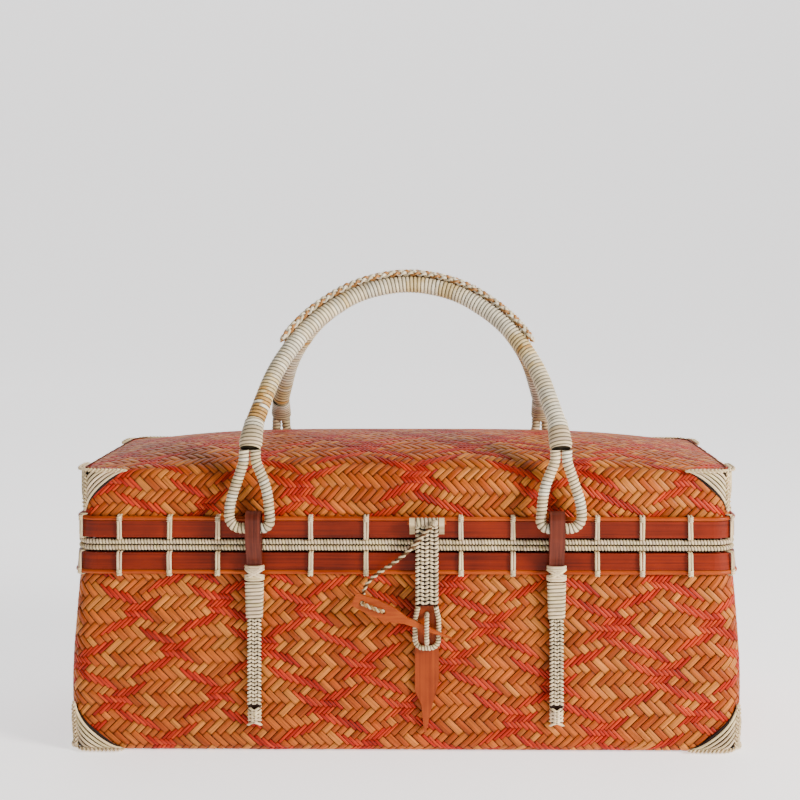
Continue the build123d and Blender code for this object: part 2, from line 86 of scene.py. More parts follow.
def outline(s, half_length, half_depth):
    """Rounded rectangle by distance round it, from the front's middle to its right.
    Returns the point and the outward direction, as arrays."""
    s = np.mod(s, GIRTH)
    flip_x = s > HALF_GIRTH
    s = np.where(flip_x, GIRTH - s, s)
    flip_y = s > HALF_GIRTH / 2
    s = np.where(flip_y, HALF_GIRTH - s, s)
    front_end = STRAIGHT_X / 2
    arc_end = front_end + QUARTER
    turn = np.clip((s - front_end) / CORNER, 0, math.pi / 2)
    run = np.clip(s / front_end, 0, 1)
    side = np.clip((s - arc_end) / (STRAIGHT_Y / 2), 0, 1)
    x = (half_length - CORNER) * run + CORNER * np.sin(turn)
    y = -(half_depth - CORNER) * (1 - side) - CORNER * np.cos(turn)
    sign_x = np.where(flip_x, -1, 1)
    sign_y = np.where(flip_y, -1, 1)
    return x * sign_x, y * sign_y, np.sin(turn) * sign_x, -np.cos(turn) * sign_y


length_fit = np.polyfit(BODY_HEIGHTS, BODY_LENGTHS, 2)
depth_fit = np.polyfit(BODY_HEIGHTS, BODY_DEPTHS, 2)


def body_wall(s, t, h):
    """Point on the body's wall: s round it, t up from the floor's edge, h outward."""
    bend = BASE_ROUND * math.pi / 2
    angle = np.clip(t / bend, 0, 1) * math.pi / 2
    z = np.where(t < bend, BASE_ROUND * (1 - np.cos(angle)), BASE_ROUND + t - bend)
    inset = BASE_ROUND * (1 - np.sin(angle))
    wobble = 0.0005 * np.sin(s * 31 + 1.3) * np.sin(z * 55) * np.sin(np.pi * z / BODY_TOP)
    half_length = np.polyval(length_fit, z) / 2 - inset
    half_depth = np.polyval(depth_fit, z) / 2 - inset
    x, y, nx, ny = outline(s, half_length, half_depth)
    out = np.sin(angle) * h + wobble
    return np.stack([x + nx * out, y + ny * out, z - np.cos(angle) * h], -1)


def crown_height(x, y):
    """Height of the lid's domed top."""
    along = 1 - np.clip(np.abs(x) / (RIM_LENGTH / 2), 0, 1) ** 3.8
    across = 1 - np.clip(np.abs(y) / (RIM_DEPTH / 2), 0, 1) ** 2.6
    return SHOULDER + CROWN_RISE * along * across


def shoulder_round(x):
    """Size of the soft turn from wall to top: wide in the middle, tight at the corners."""
    ease = np.clip((RIM_LENGTH / 2 - 0.022 - np.abs(x)) / 0.075, 0, 1)
    return 0.003 + 0.012 * ease * ease * (3 - 2 * ease)


LID_SPAN = 2 * (SHOULDER - LID_BOTTOM) + RIM_DEPTH - 2 * 0.38 * 0.015


def lid_section(x, t):
    """The lid's long section at x: y and z by distance t from the front's lower edge."""
    mirrored = t > LID_SPAN / 2
    t = np.where(mirrored, LID_SPAN - t, t)
    size = shoulder_round(x)
    wall_end = SHOULDER - size - LID_BOTTOM
    turn_end = wall_end + 1.62 * size
    top_share = np.clip((t - turn_end) / (LID_SPAN / 2 - turn_end), 0, 1)
    top_y = -RIM_DEPTH / 2 + size + top_share * (RIM_DEPTH / 2 - size)
    turn = np.clip((t - wall_end) / (1.62 * size), 0, 1)
    turn_top = crown_height(x, -RIM_DEPTH / 2 + size)
    turn_y = -RIM_DEPTH / 2 + size * turn * turn
    turn_z = (
        (SHOULDER - size) * (1 - turn) ** 2
        + (SHOULDER + 0.0006) * 2 * turn * (1 - turn)
        + turn_top * turn * turn
    )
    y = np.where(t < turn_end, turn_y, top_y)
    z = np.where(t < turn_end, turn_z, crown_height(x, top_y))
    z = np.where(t < wall_end, LID_BOTTOM + t, z)
    return np.where(mirrored, -y, y), z


def lid_sheet(s, t, h):
    """Front wall, top and back wall of the lid as one sheet, s along X."""
    step = 0.0004
    s = np.clip(s, -RIM_LENGTH / 2 + 0.0003, RIM_LENGTH / 2 - 0.0003)
    y, z = lid_section(s, t)
    y2, z2 = lid_section(s, t + step)
    y1, z1 = lid_section(s, t - step)
    size = np.maximum(np.hypot(y2 - y1, z2 - z1), 1e-9)
    ny, nz = -(z2 - z1) / size, (y2 - y1) / size
    plan = RIM_DEPTH / 2 - CORNER + np.sqrt(
        np.maximum(CORNER**2 - np.maximum(np.abs(s) - STRAIGHT_X / 2, 0) ** 2, 0)
    )
    y = np.clip(y, -plan, plan)
    return np.stack([s + 0 * h, y + ny * h, z + nz * h], -1)


def lid_wall(s, t, h):
    """The lid's corners and ends, s round it as on the body, t up from the lower edge."""
    top = SHOULDER - LID_BOTTOM
    tuck = np.clip(t - top + 0.002, 0, 0.004)
    x, y, nx, ny = outline(s, RIM_LENGTH / 2, RIM_DEPTH / 2)
    out = h - tuck * 0.6
    z = LID_BOTTOM + np.minimum(t, top + 0.0005)
    return np.stack([x + nx * out, y + ny * out, z + 0 * h], -1)


def base_sheet(s, t, h):
    """Underside of the body, h downward."""
    return np.stack([s + 0 * h, t + 0 * h, 0.0005 - h], -1)


# -------------------------------------------------------------- mesh building


class Build:
    """Collects vertices, faces, tints and grain coordinates for one piece."""

    def __init__(self):
        self.points, self.faces, self.tints, self.grains = [], [], [], []
        self.count = 0

    def add(self, points, faces, tint, grain):
        points = np.asarray(points, float).reshape(-1, 3)
        self.points.append(points)
        self.tints.append(np.broadcast_to(tint, (len(points), 3)))
        self.grains.append(np.asarray(grain, float).reshape(-1, 3))
        self.faces.append(np.asarray(faces, int) + self.count)
        self.count += len(points)

    def add_tube(self, points, tint, grain, faces=None):
        """Rows of points round a tube, closed at both ends."""
        rows, columns = np.shape(points)[:2]
        first = self.count
        self.add(points, grid_faces(rows, columns, True) if faces is None else faces, tint, grain)
        ends = [list(range(columns))[::-1], list(range((rows - 1) * columns, rows * columns))]
        self.faces.append(np.asarray(ends) + first)

    def piece(self, name, material):
        """Make the Blender object."""
        points = np.concatenate(self.points)
        mesh = bpy.data.meshes.new(name)
        faces = [row for block in self.faces for row in block.tolist()]
        mesh.from_pydata(points.tolist(), [], faces)
        for label, rows in (("tint", self.tints), ("grain", self.grains)):
            layer = mesh.attributes.new(label, "FLOAT_VECTOR", "POINT")
            layer.data.foreach_set("vector", np.concatenate(rows).astype(np.float32).ravel())
        mesh.polygons.foreach_set("use_smooth", [True] * len(mesh.polygons))
        mesh.update()
        made = bpy.data.objects.new(name, mesh)
        bpy.context.collection.objects.link(made)
        made.data.materials.append(material)
        return made


def even(radius):
    """A wrap's radius that stays the same all along it."""
    return lambda share: radius + 0 * share


def grid_faces(rows, columns, closed):
    """Quads of a grid of points, closed across its columns if asked."""
    row = np.arange(rows - 1)[:, None]
    column = np.arange(columns if closed else columns - 1)[None, :]
    after = (column + 1) % columns
    a = row * columns + column
    b = row * columns + after
    return np.stack([a, b, b + columns, a + columns], -1).reshape(-1, 4)


class Path:
    """A smooth line through points, with a frame that twists as little as it can."""

    def __init__(self, points, up=(0, 0, 1), samples=400, smooth=True):
        points = np.asarray(points, float)
        chord = np.concatenate([[0], np.cumsum(np.linalg.norm(np.diff(points, axis=0), axis=1))])
        dense = np.linspace(0, chord[-1], samples)
        through = smooth_through if smooth else lambda knots, values, at: np.interp(at, knots, values)
        line = np.stack([through(chord, points[:, k], dense) for k in range(3)], -1)
        self.s = np.concatenate([[0], np.cumsum(np.linalg.norm(np.diff(line, axis=0), axis=1))])
        self.line = line
        self.length = self.s[-1]
        tangent = np.gradient(line, self.s, axis=0)
        self.tangent = tangent / np.linalg.norm(tangent, axis=1)[:, None]
        normal = np.asarray(up, float)
        normals = []
        for direction in self.tangent:
            normal = normal - direction * normal.dot(direction)
            normal = normal / np.linalg.norm(normal)
            normals.append(normal)
        self.normal = np.array(normals)

    def at(self, s):
        """Points, tangents and normals at distances along the line."""
        s = np.clip(s, 0, self.length)
        found = []
        for source in (self.line, self.tangent, self.normal):
            found.append(np.stack([np.interp(s, self.s, source[:, k]) for k in range(3)], -1))
        return found

    def place(self, s, along_normal, along_side):
        """Points beside the line."""
        centre, tangent, normal = self.at(s)
        side = np.cross(tangent, normal)
        return centre + normal * along_normal[..., None] + side * along_side[..., None]


def smooth_through(knots, values, at):
    """Piecewise cubic through values with finite-difference slopes."""
    if len(knots) < 3:
        return np.interp(at, knots, values)
    slopes = np.gradient(values, knots)
    index = np.clip(np.searchsorted(knots, at, side="right") - 1, 0, len(knots) - 2)
    span = knots[index + 1] - knots[index]
    f = (at - knots[index]) / span
    start, end = values[index], values[index + 1]
    return (
        start * (1 + 2 * f) * (1 - f) ** 2
        + slopes[index] * span * f * (1 - f) ** 2
        + end * f * f * (3 - 2 * f)
        + slopes[index + 1] * span * f * f * (f - 1)
    )


def add_strand(
    build, path, width, thickness, tint, sides=6, start=0, end=None, step=0.001, offset=None, fade=0
):
    """A flat or round cane strand along a path. offset(s) moves it off the path."""
    end = path.length if end is None else end
    count = max(3, int((end - start) / step) + 1)
    s = np.linspace(start, end, count)
    turn = np.arange(sides) * 2 * math.pi / sides
    lift, shift = (np.zeros(count), np.zeros(count)) if offset is None else offset(s)
    size = np.ones(count)
    if fade:
        edge = np.minimum(s - start, end - s) / fade
        size = np.sqrt(np.clip(edge, 0.02, 1))
    up = lift[:, None] + np.sin(turn)[None, :] * thickness / 2 * size[:, None]
    across = shift[:, None] + np.cos(turn)[None, :] * width / 2 * size[:, None]
    points = path.place(np.repeat(s[:, None], sides, 1), up, across)
    shade = rng.uniform(0.9, 1.1)
    grain = np.stack(
        [
            np.repeat(s[:, None], sides, 1),
            np.repeat((np.cos(turn) * width / 2)[None, :], count, 0),
            np.full((count, sides), rng.uniform(0, 9)),
        ],
        -1,
    )
    build.add_tube(points, np.asarray(tint) * shade, grain)


def add_wrap(build, path, radius_up, radius_side, pitch, tints, relief, around, square=1.0):
    """A cane wound closely round a path. The radii are functions of share along it."""
    end = path.length
    profile = np.array([0.0, 0.6, 0.93, 1.0, 0.93, 0.6])
    shadow = np.array([0.04, 0.45, 1.0, 1.0, 1.0, 0.45])
    per_turn = len(profile)
    share_in_turn = np.array([0.0, 0.12, 0.3, 0.5, 0.7, 0.88])
    turns = int(end / pitch) + 2
    m = np.arange(turns * per_turn + 1)
    place = (m // per_turn) + share_in_turn[m % per_turn]
    a = np.arange(around)
    s = np.clip((place[:, None] + a[None, :] / around - 1) * pitch, 0, end)
    share = s / end
    bump = relief * (profile[m % per_turn][:, None] - 1)
    turn = a[None, :] * 2 * math.pi / around
    up = (radius_up(share) + bump) * np.sign(np.cos(turn)) * np.abs(np.cos(turn)) ** square
    across = (radius_side(share) + bump) * np.sign(np.sin(turn)) * np.abs(np.sin(turn)) ** square
    points = path.place(s, up, across)
    rows = []
    for k in range(around):
        after = (k + 1) % around
        carry = per_turn if after == 0 else 0
        low = np.arange(len(m) - 1 - carry)
        rows.append(
            np.stack(
                [
                    low * around + k,
                    (low + carry) * around + after,
                    (low + carry + 1) * around + after,
                    (low + 1) * around + k,
                ],
                -1,
            )
        )
    turn_index = np.repeat((m // per_turn)[:, None], around, 1)
    tint = np.asarray(tints)[turn_index % len(tints)]
    groove = shadow[m % per_turn][:, None, None]
    grain = np.stack([a[None, :] * 0.002 + 0 * s, s, turn_index * 0.37], -1)
    build.add_tube(points, (tint * groove).reshape(-1, 3), grain, np.concatenate(rows))


# ------------------------------------------------------------------ materials


def rgb(text):
    """Linear colour from an sRGB hex string."""
    parts = np.array([int(text[k : k + 2], 16) / 255 for k in (0, 2, 4)])
    return np.where(parts <= 0.04045, parts / 12.92, ((parts + 0.055) / 1.055) ** 2.4)


NATURAL = [rgb(c) for c in ("B05418", "BA6020", "A84A12", "C8762E", "B65A1A", "A0440E", "C06C28")]
RED = [rgb(c) for c in ("AA2006", "BC3010", "9C1A04", "C43E14", "B02808")]
CREAM = rgb("E2CEA8")
# Painted shade: near-black, under the corner lashings' strands and inside the stitched straps.
DEEP_SHADE = rgb("1E0E08")
# Painted shade: the colour of the sheet under the weave that shows in the gaps between the tiles.
GAP_SHADE = rgb("3A1206")
STRAW = [rgb(c) for c in ("F0E4C8", "ECDAB4", "E0C48C", "C89854", "F2E8CE", "E8D2A4")]


def new_material(name):
    """A node material, its surface shader, and its node and link collections."""
    material = bpy.data.materials.new(name)
    material.use_nodes = True
    tree = material.node_tree
    return material, tree.nodes["Principled BSDF"], tree.nodes, tree.links


def add_noise(nodes, links, source, scale, detail, roughness=0.5):
    """Noise read at a vector output."""
    noise = nodes.new("ShaderNodeTexNoise")
    noise.inputs["Scale"].default_value = scale
    noise.inputs["Detail"].default_value = detail
    noise.inputs["Roughness"].default_value = roughness
    links.new(source, noise.inputs["Vector"])
    return noise.outputs["Fac"]


def add_range(nodes, links, source, low, high, from_low=0.0, from_high=1.0):
    """A value mapped from one range to another."""
    mapped = nodes.new("ShaderNodeMapRange")
    for label, value in (("From Min", from_low), ("From Max", from_high), ("To Min", low), ("To Max", high)):
        mapped.inputs[label].default_value = value
    links.new(source, mapped.inputs["Value"])
    return mapped.outputs[0]


def add_stretch(nodes, links, source, scale):
    """A vector stretched along its axes, for noise that runs as fibres."""
    stretch = nodes.new("ShaderNodeVectorMath")
    stretch.operation = "MULTIPLY"
    stretch.inputs[1].default_value = scale
    links.new(source, stretch.inputs[0])
    return stretch.outputs[0]


def add_math(nodes, links, operation, first, second, third=None):
    """A sum on values, each an output or a number."""
    made = nodes.new("ShaderNodeMath")
    made.operation = operation
    for socket, value in zip(made.inputs, (first, second, third)):
        if isinstance(value, float):
            socket.default_value = value
        elif value is not None:
            links.new(value, socket)
    return made.outputs[0]


def varnish(shader, nodes, links, fibres, rough_low, rough_high, strength, bump, coat, coat_roughness):
    """Roughness and fine bump that follow the fibres, under a thin coat."""
    links.new(add_range(nodes, links, fibres, rough_low, rough_high), shader.inputs["Roughness"])
    relief = nodes.new("ShaderNodeBump")
    relief.inputs["Strength"].default_value = strength
    relief.inputs["Distance"].default_value = bump
    links.new(fibres, relief.inputs["Height"])
    links.new(relief.outputs[0], shader.inputs["Normal"])
    shader.inputs["Coat Weight"].default_value = coat
    shader.inputs["Coat Roughness"].default_value = coat_roughness
    shader.inputs["Specular IOR Level"].default_value = 0.14


def cane_material(name, roughness, coat, streak=0.5):
    """Varnished cane: per-strip tint, fibres along the strip, fine bump and a thin varnish."""
    material, shader, nodes, links = new_material(name)
    grain = nodes.new("ShaderNodeAttribute")
    grain.attribute_name = "grain"
    along_strip = add_stretch(nodes, links, grain.outputs["Vector"], (30.0, 800.0, 40.0))
    fibres = add_noise(nodes, links, along_strip, 1.6, 5, 0.65)
    place = nodes.new("ShaderNodeTexCoord").outputs["Object"]
    stain = add_noise(nodes, links, place, 55.0, 3)
    streaks = add_range(nodes, links, fibres, 1 - streak, 1 + streak * 0.6, 0.3, 0.7)
    blotches = add_range(nodes, links, stain, 0.8, 1.12, 0.3, 0.7)
    colour = nodes.new("ShaderNodeAttribute")
    colour.attribute_name = "tint"
    tint = nodes.new("ShaderNodeVectorMath")
    tint.operation = "SCALE"
    links.new(colour.outputs["Vector"], tint.inputs[0])
    links.new(add_math(nodes, links, "MULTIPLY", streaks, blotches), tint.inputs["Scale"])
    links.new(tint.outputs[0], shader.inputs["Base Color"])
    varnish(shader, nodes, links, fibres, roughness - 0.08, roughness + 0.16, 0.5, 0.00012, coat, 0.25)
    return material


def grained_material(name, dark, light, fibre_scale, roughness=0.4):
    """Split bamboo on a CAD part: fibres run along the stretched axis of the object."""
    material, shader, nodes, links = new_material(name)
    place = nodes.new("ShaderNodeTexCoord").outputs["Object"]
    fibres = add_noise(nodes, links, add_stretch(nodes, links, place, fibre_scale), 1.0, 6, 0.62)
    blotch = add_noise(nodes, links, place, 38.0, 3)
    half = add_math(nodes, links, "MULTIPLY", blotch, 0.45)
    blend = add_math(nodes, links, "MULTIPLY_ADD", fibres, 0.55, half)
    ramp = nodes.new("ShaderNodeValToRGB")
    for element, position, colour in zip(ramp.color_ramp.elements, (0.36, 0.64), (dark, light)):
        element.position = position
        element.color = (*colour, 1)
    links.new(blend, ramp.inputs["Fac"])
    links.new(ramp.outputs["Color"], shader.inputs["Base Color"])
    varnish(shader, nodes, links, fibres, roughness - 0.1, roughness + 0.16, 0.6, 0.0001, 0.04, 0.22)
    return material


weave_material = cane_material("weave_cane", roughness=0.44, coat=0.02)
cream_material = cane_material("cream_cane", roughness=0.45, streak=0.22, coat=0.08)
wrap_material = cane_material("wrap_cane", roughness=0.38, streak=0.25, coat=0.18)
cord_material = cane_material("twisted_cord", roughness=0.7, streak=0.3, coat=0.0)
# Material of the painted shade sheet under the weave.
gap_shade_material = cane_material("painted_gap_shade", roughness=0.7, streak=0.3, coat=0.0)
band_material = grained_material("red_bamboo_band", rgb("4A0E00"), rgb("822202"), (9, 9, 900), 0.42)
rod_material = grained_material("red_cane_rod", rgb("7A2404"), rgb("B04E12"), (14, 14, 700))
strip_material = grained_material("brown_strip", rgb("361008"), rgb("6E3020"), (900, 60, 18))
tongue_material = grained_material("tongue_bamboo", rgb("6A2004"), rgb("9A4012"), (900, 30, 12))
peg_material = grained_material("peg_bamboo", rgb("7A2806"), rgb("A84C14"), (40, 200, 700))

# -------------------------------------------------------------- shared shapes


def rounded_line(points, radii, step=0.0008):
    """Dense points of a run with rounded corners, one radius for each inner point."""
    points = [np.asarray(p, float) for p in points]
    line = [points[0]]
    for k, radius in enumerate(radii, start=1):
        before, corner, after = points[k - 1], points[k], points[k + 1]
        run_in = (before - corner) / np.linalg.norm(before - corner)
        run_out = (after - corner) / np.linalg.norm(after - corner)
        half = math.acos(np.clip(run_in.dot(run_out), -1, 1)) / 2
        reach = radius / math.tan(half)
        start, end = corner + run_in * reach, corner + run_out * reach
        middle = (run_in + run_out) / np.linalg.norm(run_in + run_out)
        centre = corner + middle * radius / math.sin(half)
        sweep = math.pi - 2 * half
        count = max(4, int(radius * sweep / step))
        for share in np.linspace(0, 1, count):
            a = math.sin((1 - share) * sweep) / math.sin(sweep)
            b = math.sin(share * sweep) / math.sin(sweep)
            line.append(centre + (start - centre) * a + (end - centre) * b)
    line.append(points[-1])
    return np.array(line)


def easy_radii(points):
    """Largest arc at each inner point that leaves a short straight."""
    radii = []
    for before, point, after in zip(points, points[1:], points[2:]):
        run_in, run_out = np.subtract(point, before), np.subtract(after, point)
        sizes = np.linalg.norm(run_in), np.linalg.norm(run_out)
        turn = math.acos(np.clip(run_in.dot(run_out) / (sizes[0] * sizes[1]), -1, 1))
        radii.append(0.45 * min(sizes) / math.tan(turn / 2))
    return radii


def straight_path(start, end, up=(0, 0, 1)):
    """A path between two points."""
    return Path([start, end], up=up, samples=60)


def add_braid(build, path, width, thickness, pitch, tints, cane):
    """Flat braid along a path: width lies beside it, thickness along its normal."""
    end = path.length
    for k in range(3):
        phase = 2 * math.pi * k / 3

        def offset(s, phase=phase):
            turn = 2 * math.pi * s / pitch + phase
            taper = np.sqrt(np.clip(np.minimum(s, end - s) / (pitch * 0.7), 0.15, 1))
            side = (width - cane) / 2 * np.sin(turn) * taper
            lift = (thickness - cane * 0.8) / 2 * np.sin(2 * turn) * taper
            return lift, side

        add_strand(build, path, cane, cane * 0.8, tints[k], step=pitch / 12, offset=offset, fade=cane)


def add_twist(build, path, diameter, lay, tints):
    """Two-ply twisted cord along a path."""
    ply = diameter * 0.62
    for k in range(2):

        def offset(s, k=k):
            turn = 2 * math.pi * s / lay + math.pi * k
            return diameter * 0.25 * np.cos(turn), diameter * 0.25 * np.sin(turn)

        add_strand(build, path, ply, ply, tints[k], sides=7, step=lay / 9, offset=offset)


def add_core(build, centre, across, along, outward, half_width, half_length, thickness):
    """A pillowed slab that fills the inside of a stitched strap, near-black as painted shade between the
    stitches.
    """
    centre, across, along, outward = (np.asarray(v, float) for v in (centre, across, along, outward))
    turn = np.linspace(0, 2 * math.pi, 16, endpoint=False)
    c = np.sign(np.cos(turn)) * np.abs(np.cos(turn)) ** 0.5
    s = np.sign(np.sin(turn)) * np.abs(np.sin(turn)) ** 0.5
    rows = [
        [centre + along * half_length * r + across * half_width * x + outward * thickness / 2 * y
         for x, y in zip(c, s)]
        for r in np.linspace(-1, 1, 14)
    ]
    build.add_tube(np.array(rows), DEEP_SHADE, np.array(rows))


def add_stitches(build, centre, across, along, outward, columns, length, pitch, size, drop):
    """Columns of slanted stitches. Each column is its two edges across the strap."""
    centre, across, along, outward = (np.asarray(v, float) for v in (centre, across, along, outward))
    for number, (x_low, x_high) in enumerate(columns):
        rise = drop if number % 2 else -drop
        for row in range(int(length / pitch)):
            level = length / 2 - (row + 0.5) * pitch + rng.uniform(-1, 1) * pitch * 0.06
            ends = []
            for x, z in ((x_low, level + rise), ((x_low + x_high) / 2, level), (x_high, level - rise)):
                bow = 0.0004 if z == level else 0.0
                ends.append(centre + across * x + along * z + outward * bow)
            path = Path(ends, up=outward, samples=12)
            shade = CREAM * rng.uniform(0.72, 1.12)
            add_strand(build, path, size, size * 0.9, shade, step=path.length / 4, fade=size * 0.6)


def creamy(count):
    """Tints of cane strands, near cream."""
    tints = []
    for _ in range(count):
        level = rng.uniform(0.78, 1.08)
        tints.append(CREAM * level * np.array([1, rng.uniform(0.93, 1), rng.uniform(0.82, 1)]))
    return tints


def straw_tints(count):
    """Tints that drift from cream to gold in patches, one for each turn of a wrap."""
    level = np.abs(np.cumsum(rng.normal(0, 0.45, count))) % 5.99
    return [STRAW[int(v)] * rng.uniform(0.85, 1.1) for v in level]


def own(build, name, material, body, slot, *nodes):
    """Make a piece, give it its body, and let it stand for CAD nodes. Its slot is not used."""
    made = build.piece(name, material)
    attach(made, body)
    if nodes:
        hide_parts(*nodes)
    return made


# ---------------------------------------------------------------- camera first

camera_data = bpy.data.cameras.new("camera")
camera_data.sensor_width = 36.0
camera_data.lens = 36.0 * 1430 / 800
camera = bpy.data.objects.new("camera", camera_data)
bpy.context.collection.objects.link(camera)
camera_data.shift_x = -0.0315
camera_data.shift_y = -0.17375
camera.location = (0.019, -0.874, 0.275)
camera.rotation_euler = (math.radians(90), 0, 0.010)
bpy.context.scene.camera = camera

# ---------------------------------------------------------------- tether first

TETHER_EXIT = (0.0149, -0.0852, 0.1289)
TETHER_ROUTE = (
    TETHER_EXIT,
    (0.0095, -0.0844, 0.1236),
    (0.0028, -0.0839, 0.1154),
    (-0.0056, -0.0836, 0.1084),
    (-0.0146, -0.0832, 0.1026),
    (-0.0206, -0.0824, 0.0976),
    (-0.02335, -0.0804, 0.0919),
    (-0.02375, -0.0782, 0.08616),
    (-0.02375, -0.0839, 0.08616),
)
TETHER_DIAMETER = 0.0022


def spline_points(name, route):
    """Points along the NURBS spline of a given route."""
    curve = bpy.data.curves.new(name, "CURVE")
    curve.dimensions = "3D"
    curve.resolution_u = 24
    spline = curve.splines.new("NURBS")
    spline.points.add(len(route) - 1)
    for point, place in zip(spline.points, route):
        point.co = (*place, 1)
    spline.order_u = 3
    spline.use_endpoint_u = True
    holder = bpy.data.objects.new(name, curve)
    line = bpy.data.meshes.new_from_object(holder)
    points = [tuple(v.co) for v in line.vertices]
    bpy.data.objects.remove(holder)
    return points


tether_points = spline_points("tether_route", TETHER_ROUTE)
tether_path = Path(tether_points, up=(0, -1, 0), samples=300, smooth=False)
tether_build = Build()
add_twist(tether_build, tether_path, TETHER_DIAMETER, 0.0048, (rgb("D2BC92"), rgb("5A3A20")))
tether = tether_build.piece("tether_cord", cord_material)
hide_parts("clasp_tether")
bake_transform(tether)


# ------------------------------------------------------------------ the weave

WIDE, NARROW = 0.0037, 0.0017


def strip_widths(total, wide_run, narrow_run):
    """Widths and red flags of strips that fill a length, a multiple of six of them."""
    widths, reds = [], []
    while sum(widths) < total or len(widths) % 6:
        for _ in range(rng.integers(*wide_run)):
            widths.append(WIDE * rng.uniform(0.84, 1.16))
            reds.append(False)
        for _ in range(rng.integers(*narrow_run)):
            widths.append(NARROW * rng.uniform(0.85, 1.25))
            reds.append(True)
        while len(widths) % 6 and sum(widths) >= total:
            widths.append(WIDE * rng.uniform(0.84, 1.16))
            reds.append(False)
    widths = np.array(widths) * total / sum(widths)
    return np.concatenate([[0], np.cumsum(widths)]), np.array(reds)


def strip_tints(reds, dark):
    """A tint for each strip."""
    picks = rng.integers(0, 100, len(reds))
    tints = [RED[p % len(RED)] if red else NATURAL[p % len(NATURAL)] for p, red in zip(picks, reds)]
    return np.array(tints) * dark


def add_tile(build, surface, u, v, along_u, tint, lift, detail):
    """One visible float of a strip, crowned, its ends dipping under its neighbours."""
    low, high = (u, v) if along_u else (v, u)
    run = np.array([0, 0.12, 0.5, 0.88, 1.0]) if detail else np.array([0, 0.5, 1.0])
    dip = np.array([5, 0.7, 0, 0.7, 5]) * 0.0001 if detail else np.array([4, 0, 4]) * 0.0001
    reach = 0.0003
    along = low[0] - reach + run * (low[1] - low[0] + 2 * reach)
    half = (high[1] - high[0]) / 2 * 0.95
    middle = (high[0] + high[1]) / 2
    if detail:
        side = np.array([-1, -0.86, 0.86, 1]) * half
        rise = np.array([-4.2, 0, 0, -4.2]) * 0.0001
    else:
        side = np.array([-1, 0, 1]) * half
        rise = np.array([-0.0004, 0, -0.0004])
    a = np.repeat(along[:, None], len(side), 1)
    b = np.repeat((middle + side)[None, :], len(run), 0)
    h = lift - dip[:, None] + rise[None, :]
    uu, vv = (a, b) if along_u else (b, a)
    points = surface((uu + vv) / math.sqrt(2), (uu - vv) / math.sqrt(2), h)
    shade = rng.uniform(0.9, 1.1)
    grain = np.stack([a, b - middle, np.full_like(a, middle * 50 + rng.uniform(0, 0.4))], -1)
    # Painted shade: the tile's sloping sides fall to 0.3, and its ends dim toward 0.3 where they dip under
    # the neighbours.
    edge = np.where(np.abs(side) > 0.99 * half, 0.3, 1.0)[None, :, None]
    ends = np.interp(dip, (0, 0.00016, 0.0005), (1.0, 0.86, 0.3))[:, None, None]
    build.add_tube(points, (np.asarray(tint) * shade * edge * ends).reshape(-1, 3), grain)


def clamp(surface, t_low, t_high):
    """A surface whose t is held between two values."""
    return lambda s, t, h: surface(s, np.clip(t, t_low, t_high), h)


def weave(build_for, surface, s_range, t_range, lift, detail, strips, dark=1.0, keep=None):
    """Lay the herringbone over part of a surface. build_for(s) picks the piece."""
    (b_edges, b_tints), (a_edges, a_tints) = strips
    period = b_edges[-1]
    held = clamp(surface, *t_range)
    root2 = math.sqrt(2)

    def widen(edges, tints, low, high):
        first = int(math.floor(low / period)) - 1
        last = int(math.ceil(high / period)) + 1
        count = len(edges) - 1
        cells = np.concatenate([edges[:-1] + k * period for k in range(first, last)])
        cells = np.append(cells, last * period)
        return cells, np.concatenate([tints] * (last - first)), first * count

    u_low, u_high = (s_range[0] + t_range[0]) / root2, (s_range[1] + t_range[1]) / root2
    v_low, v_high = (s_range[0] - t_range[1]) / root2, (s_range[1] - t_range[0]) / root2
    us, u_tints, u_shift = widen(b_edges, b_tints, u_low, u_high)
    vs, v_tints, v_shift = widen(a_edges, a_tints, v_low, v_high)

    def inside(u, v):
        s, t = (np.mean(u) + np.mean(v)) / root2, (np.mean(u) - np.mean(v)) / root2
        if not s_range[0] <= s < s_range[1]:
            return None
        half_t = (u[1] - u[0] + v[1] - v[0]) / (2 * root2)
        if t + half_t * 0.75 < t_range[0] or t - half_t * 0.75 > t_range[1]:
            return None
        return s if keep is None or keep(s, t) else None

    for i in range(len(vs) - 1):
        start = (i + v_shift - u_shift) % 6
        for j in range(start - 6, len(us) - 1, 6):
            first, last = max(j, 0), min(j + 3, len(us) - 1)
            if last <= first or us[last] < u_low or us[first] > u_high:
                continue
            u, v = (us[first], us[last]), (vs[i], vs[i + 1])
            s = inside(u, v)
            if s is not None:
                add_tile(build_for(s), held, u, v, True, v_tints[i] * dark, lift, detail)
    for j in range(len(us) - 1):
        start = (j + u_shift - v_shift - 5) % 6
        for i in range(start - 6, len(vs) - 1, 6):
            first, last = max(i, 0), min(i + 3, len(vs) - 1)
            if last <= first or vs[last] < v_low or vs[first] > v_high:
                continue
            u, v = (us[j], us[j + 1]), (vs[first], vs[last])
            s = inside(u, v)
            if s is not None:
                add_tile(build_for(s), held, u, v, False, u_tints[j] * dark, lift, detail)


def strip_families(total):
    """The two families of strips, with their red clusters."""
    b_edges, b_red = strip_widths(total, (4, 10), (5, 10))
    a_edges, a_red = strip_widths(total, (6, 12), (4, 8))
    return (b_edges, strip_tints(b_red, 1.0)), (a_edges, strip_tints(a_red, 0.95))


def sheet_faces(rows, columns):
    """Faces of two grids of points back to back, joined round their edge."""
    faces = grid_faces(rows, columns, False)
    total = rows * columns
    edge = list(range(columns))
    edge += [r * columns + columns - 1 for r in range(1, rows)]
    edge += [(rows - 1) * columns + c for c in range(columns - 2, -1, -1)]
    edge += [r * columns for r in range(rows - 2, 0, -1)]
    edge = np.array(edge)
    after = np.roll(edge, -1)
    rim = np.stack([after, edge, edge + total, after + total], -1)
    return np.concatenate([faces, faces[:, ::-1] + total, rim])


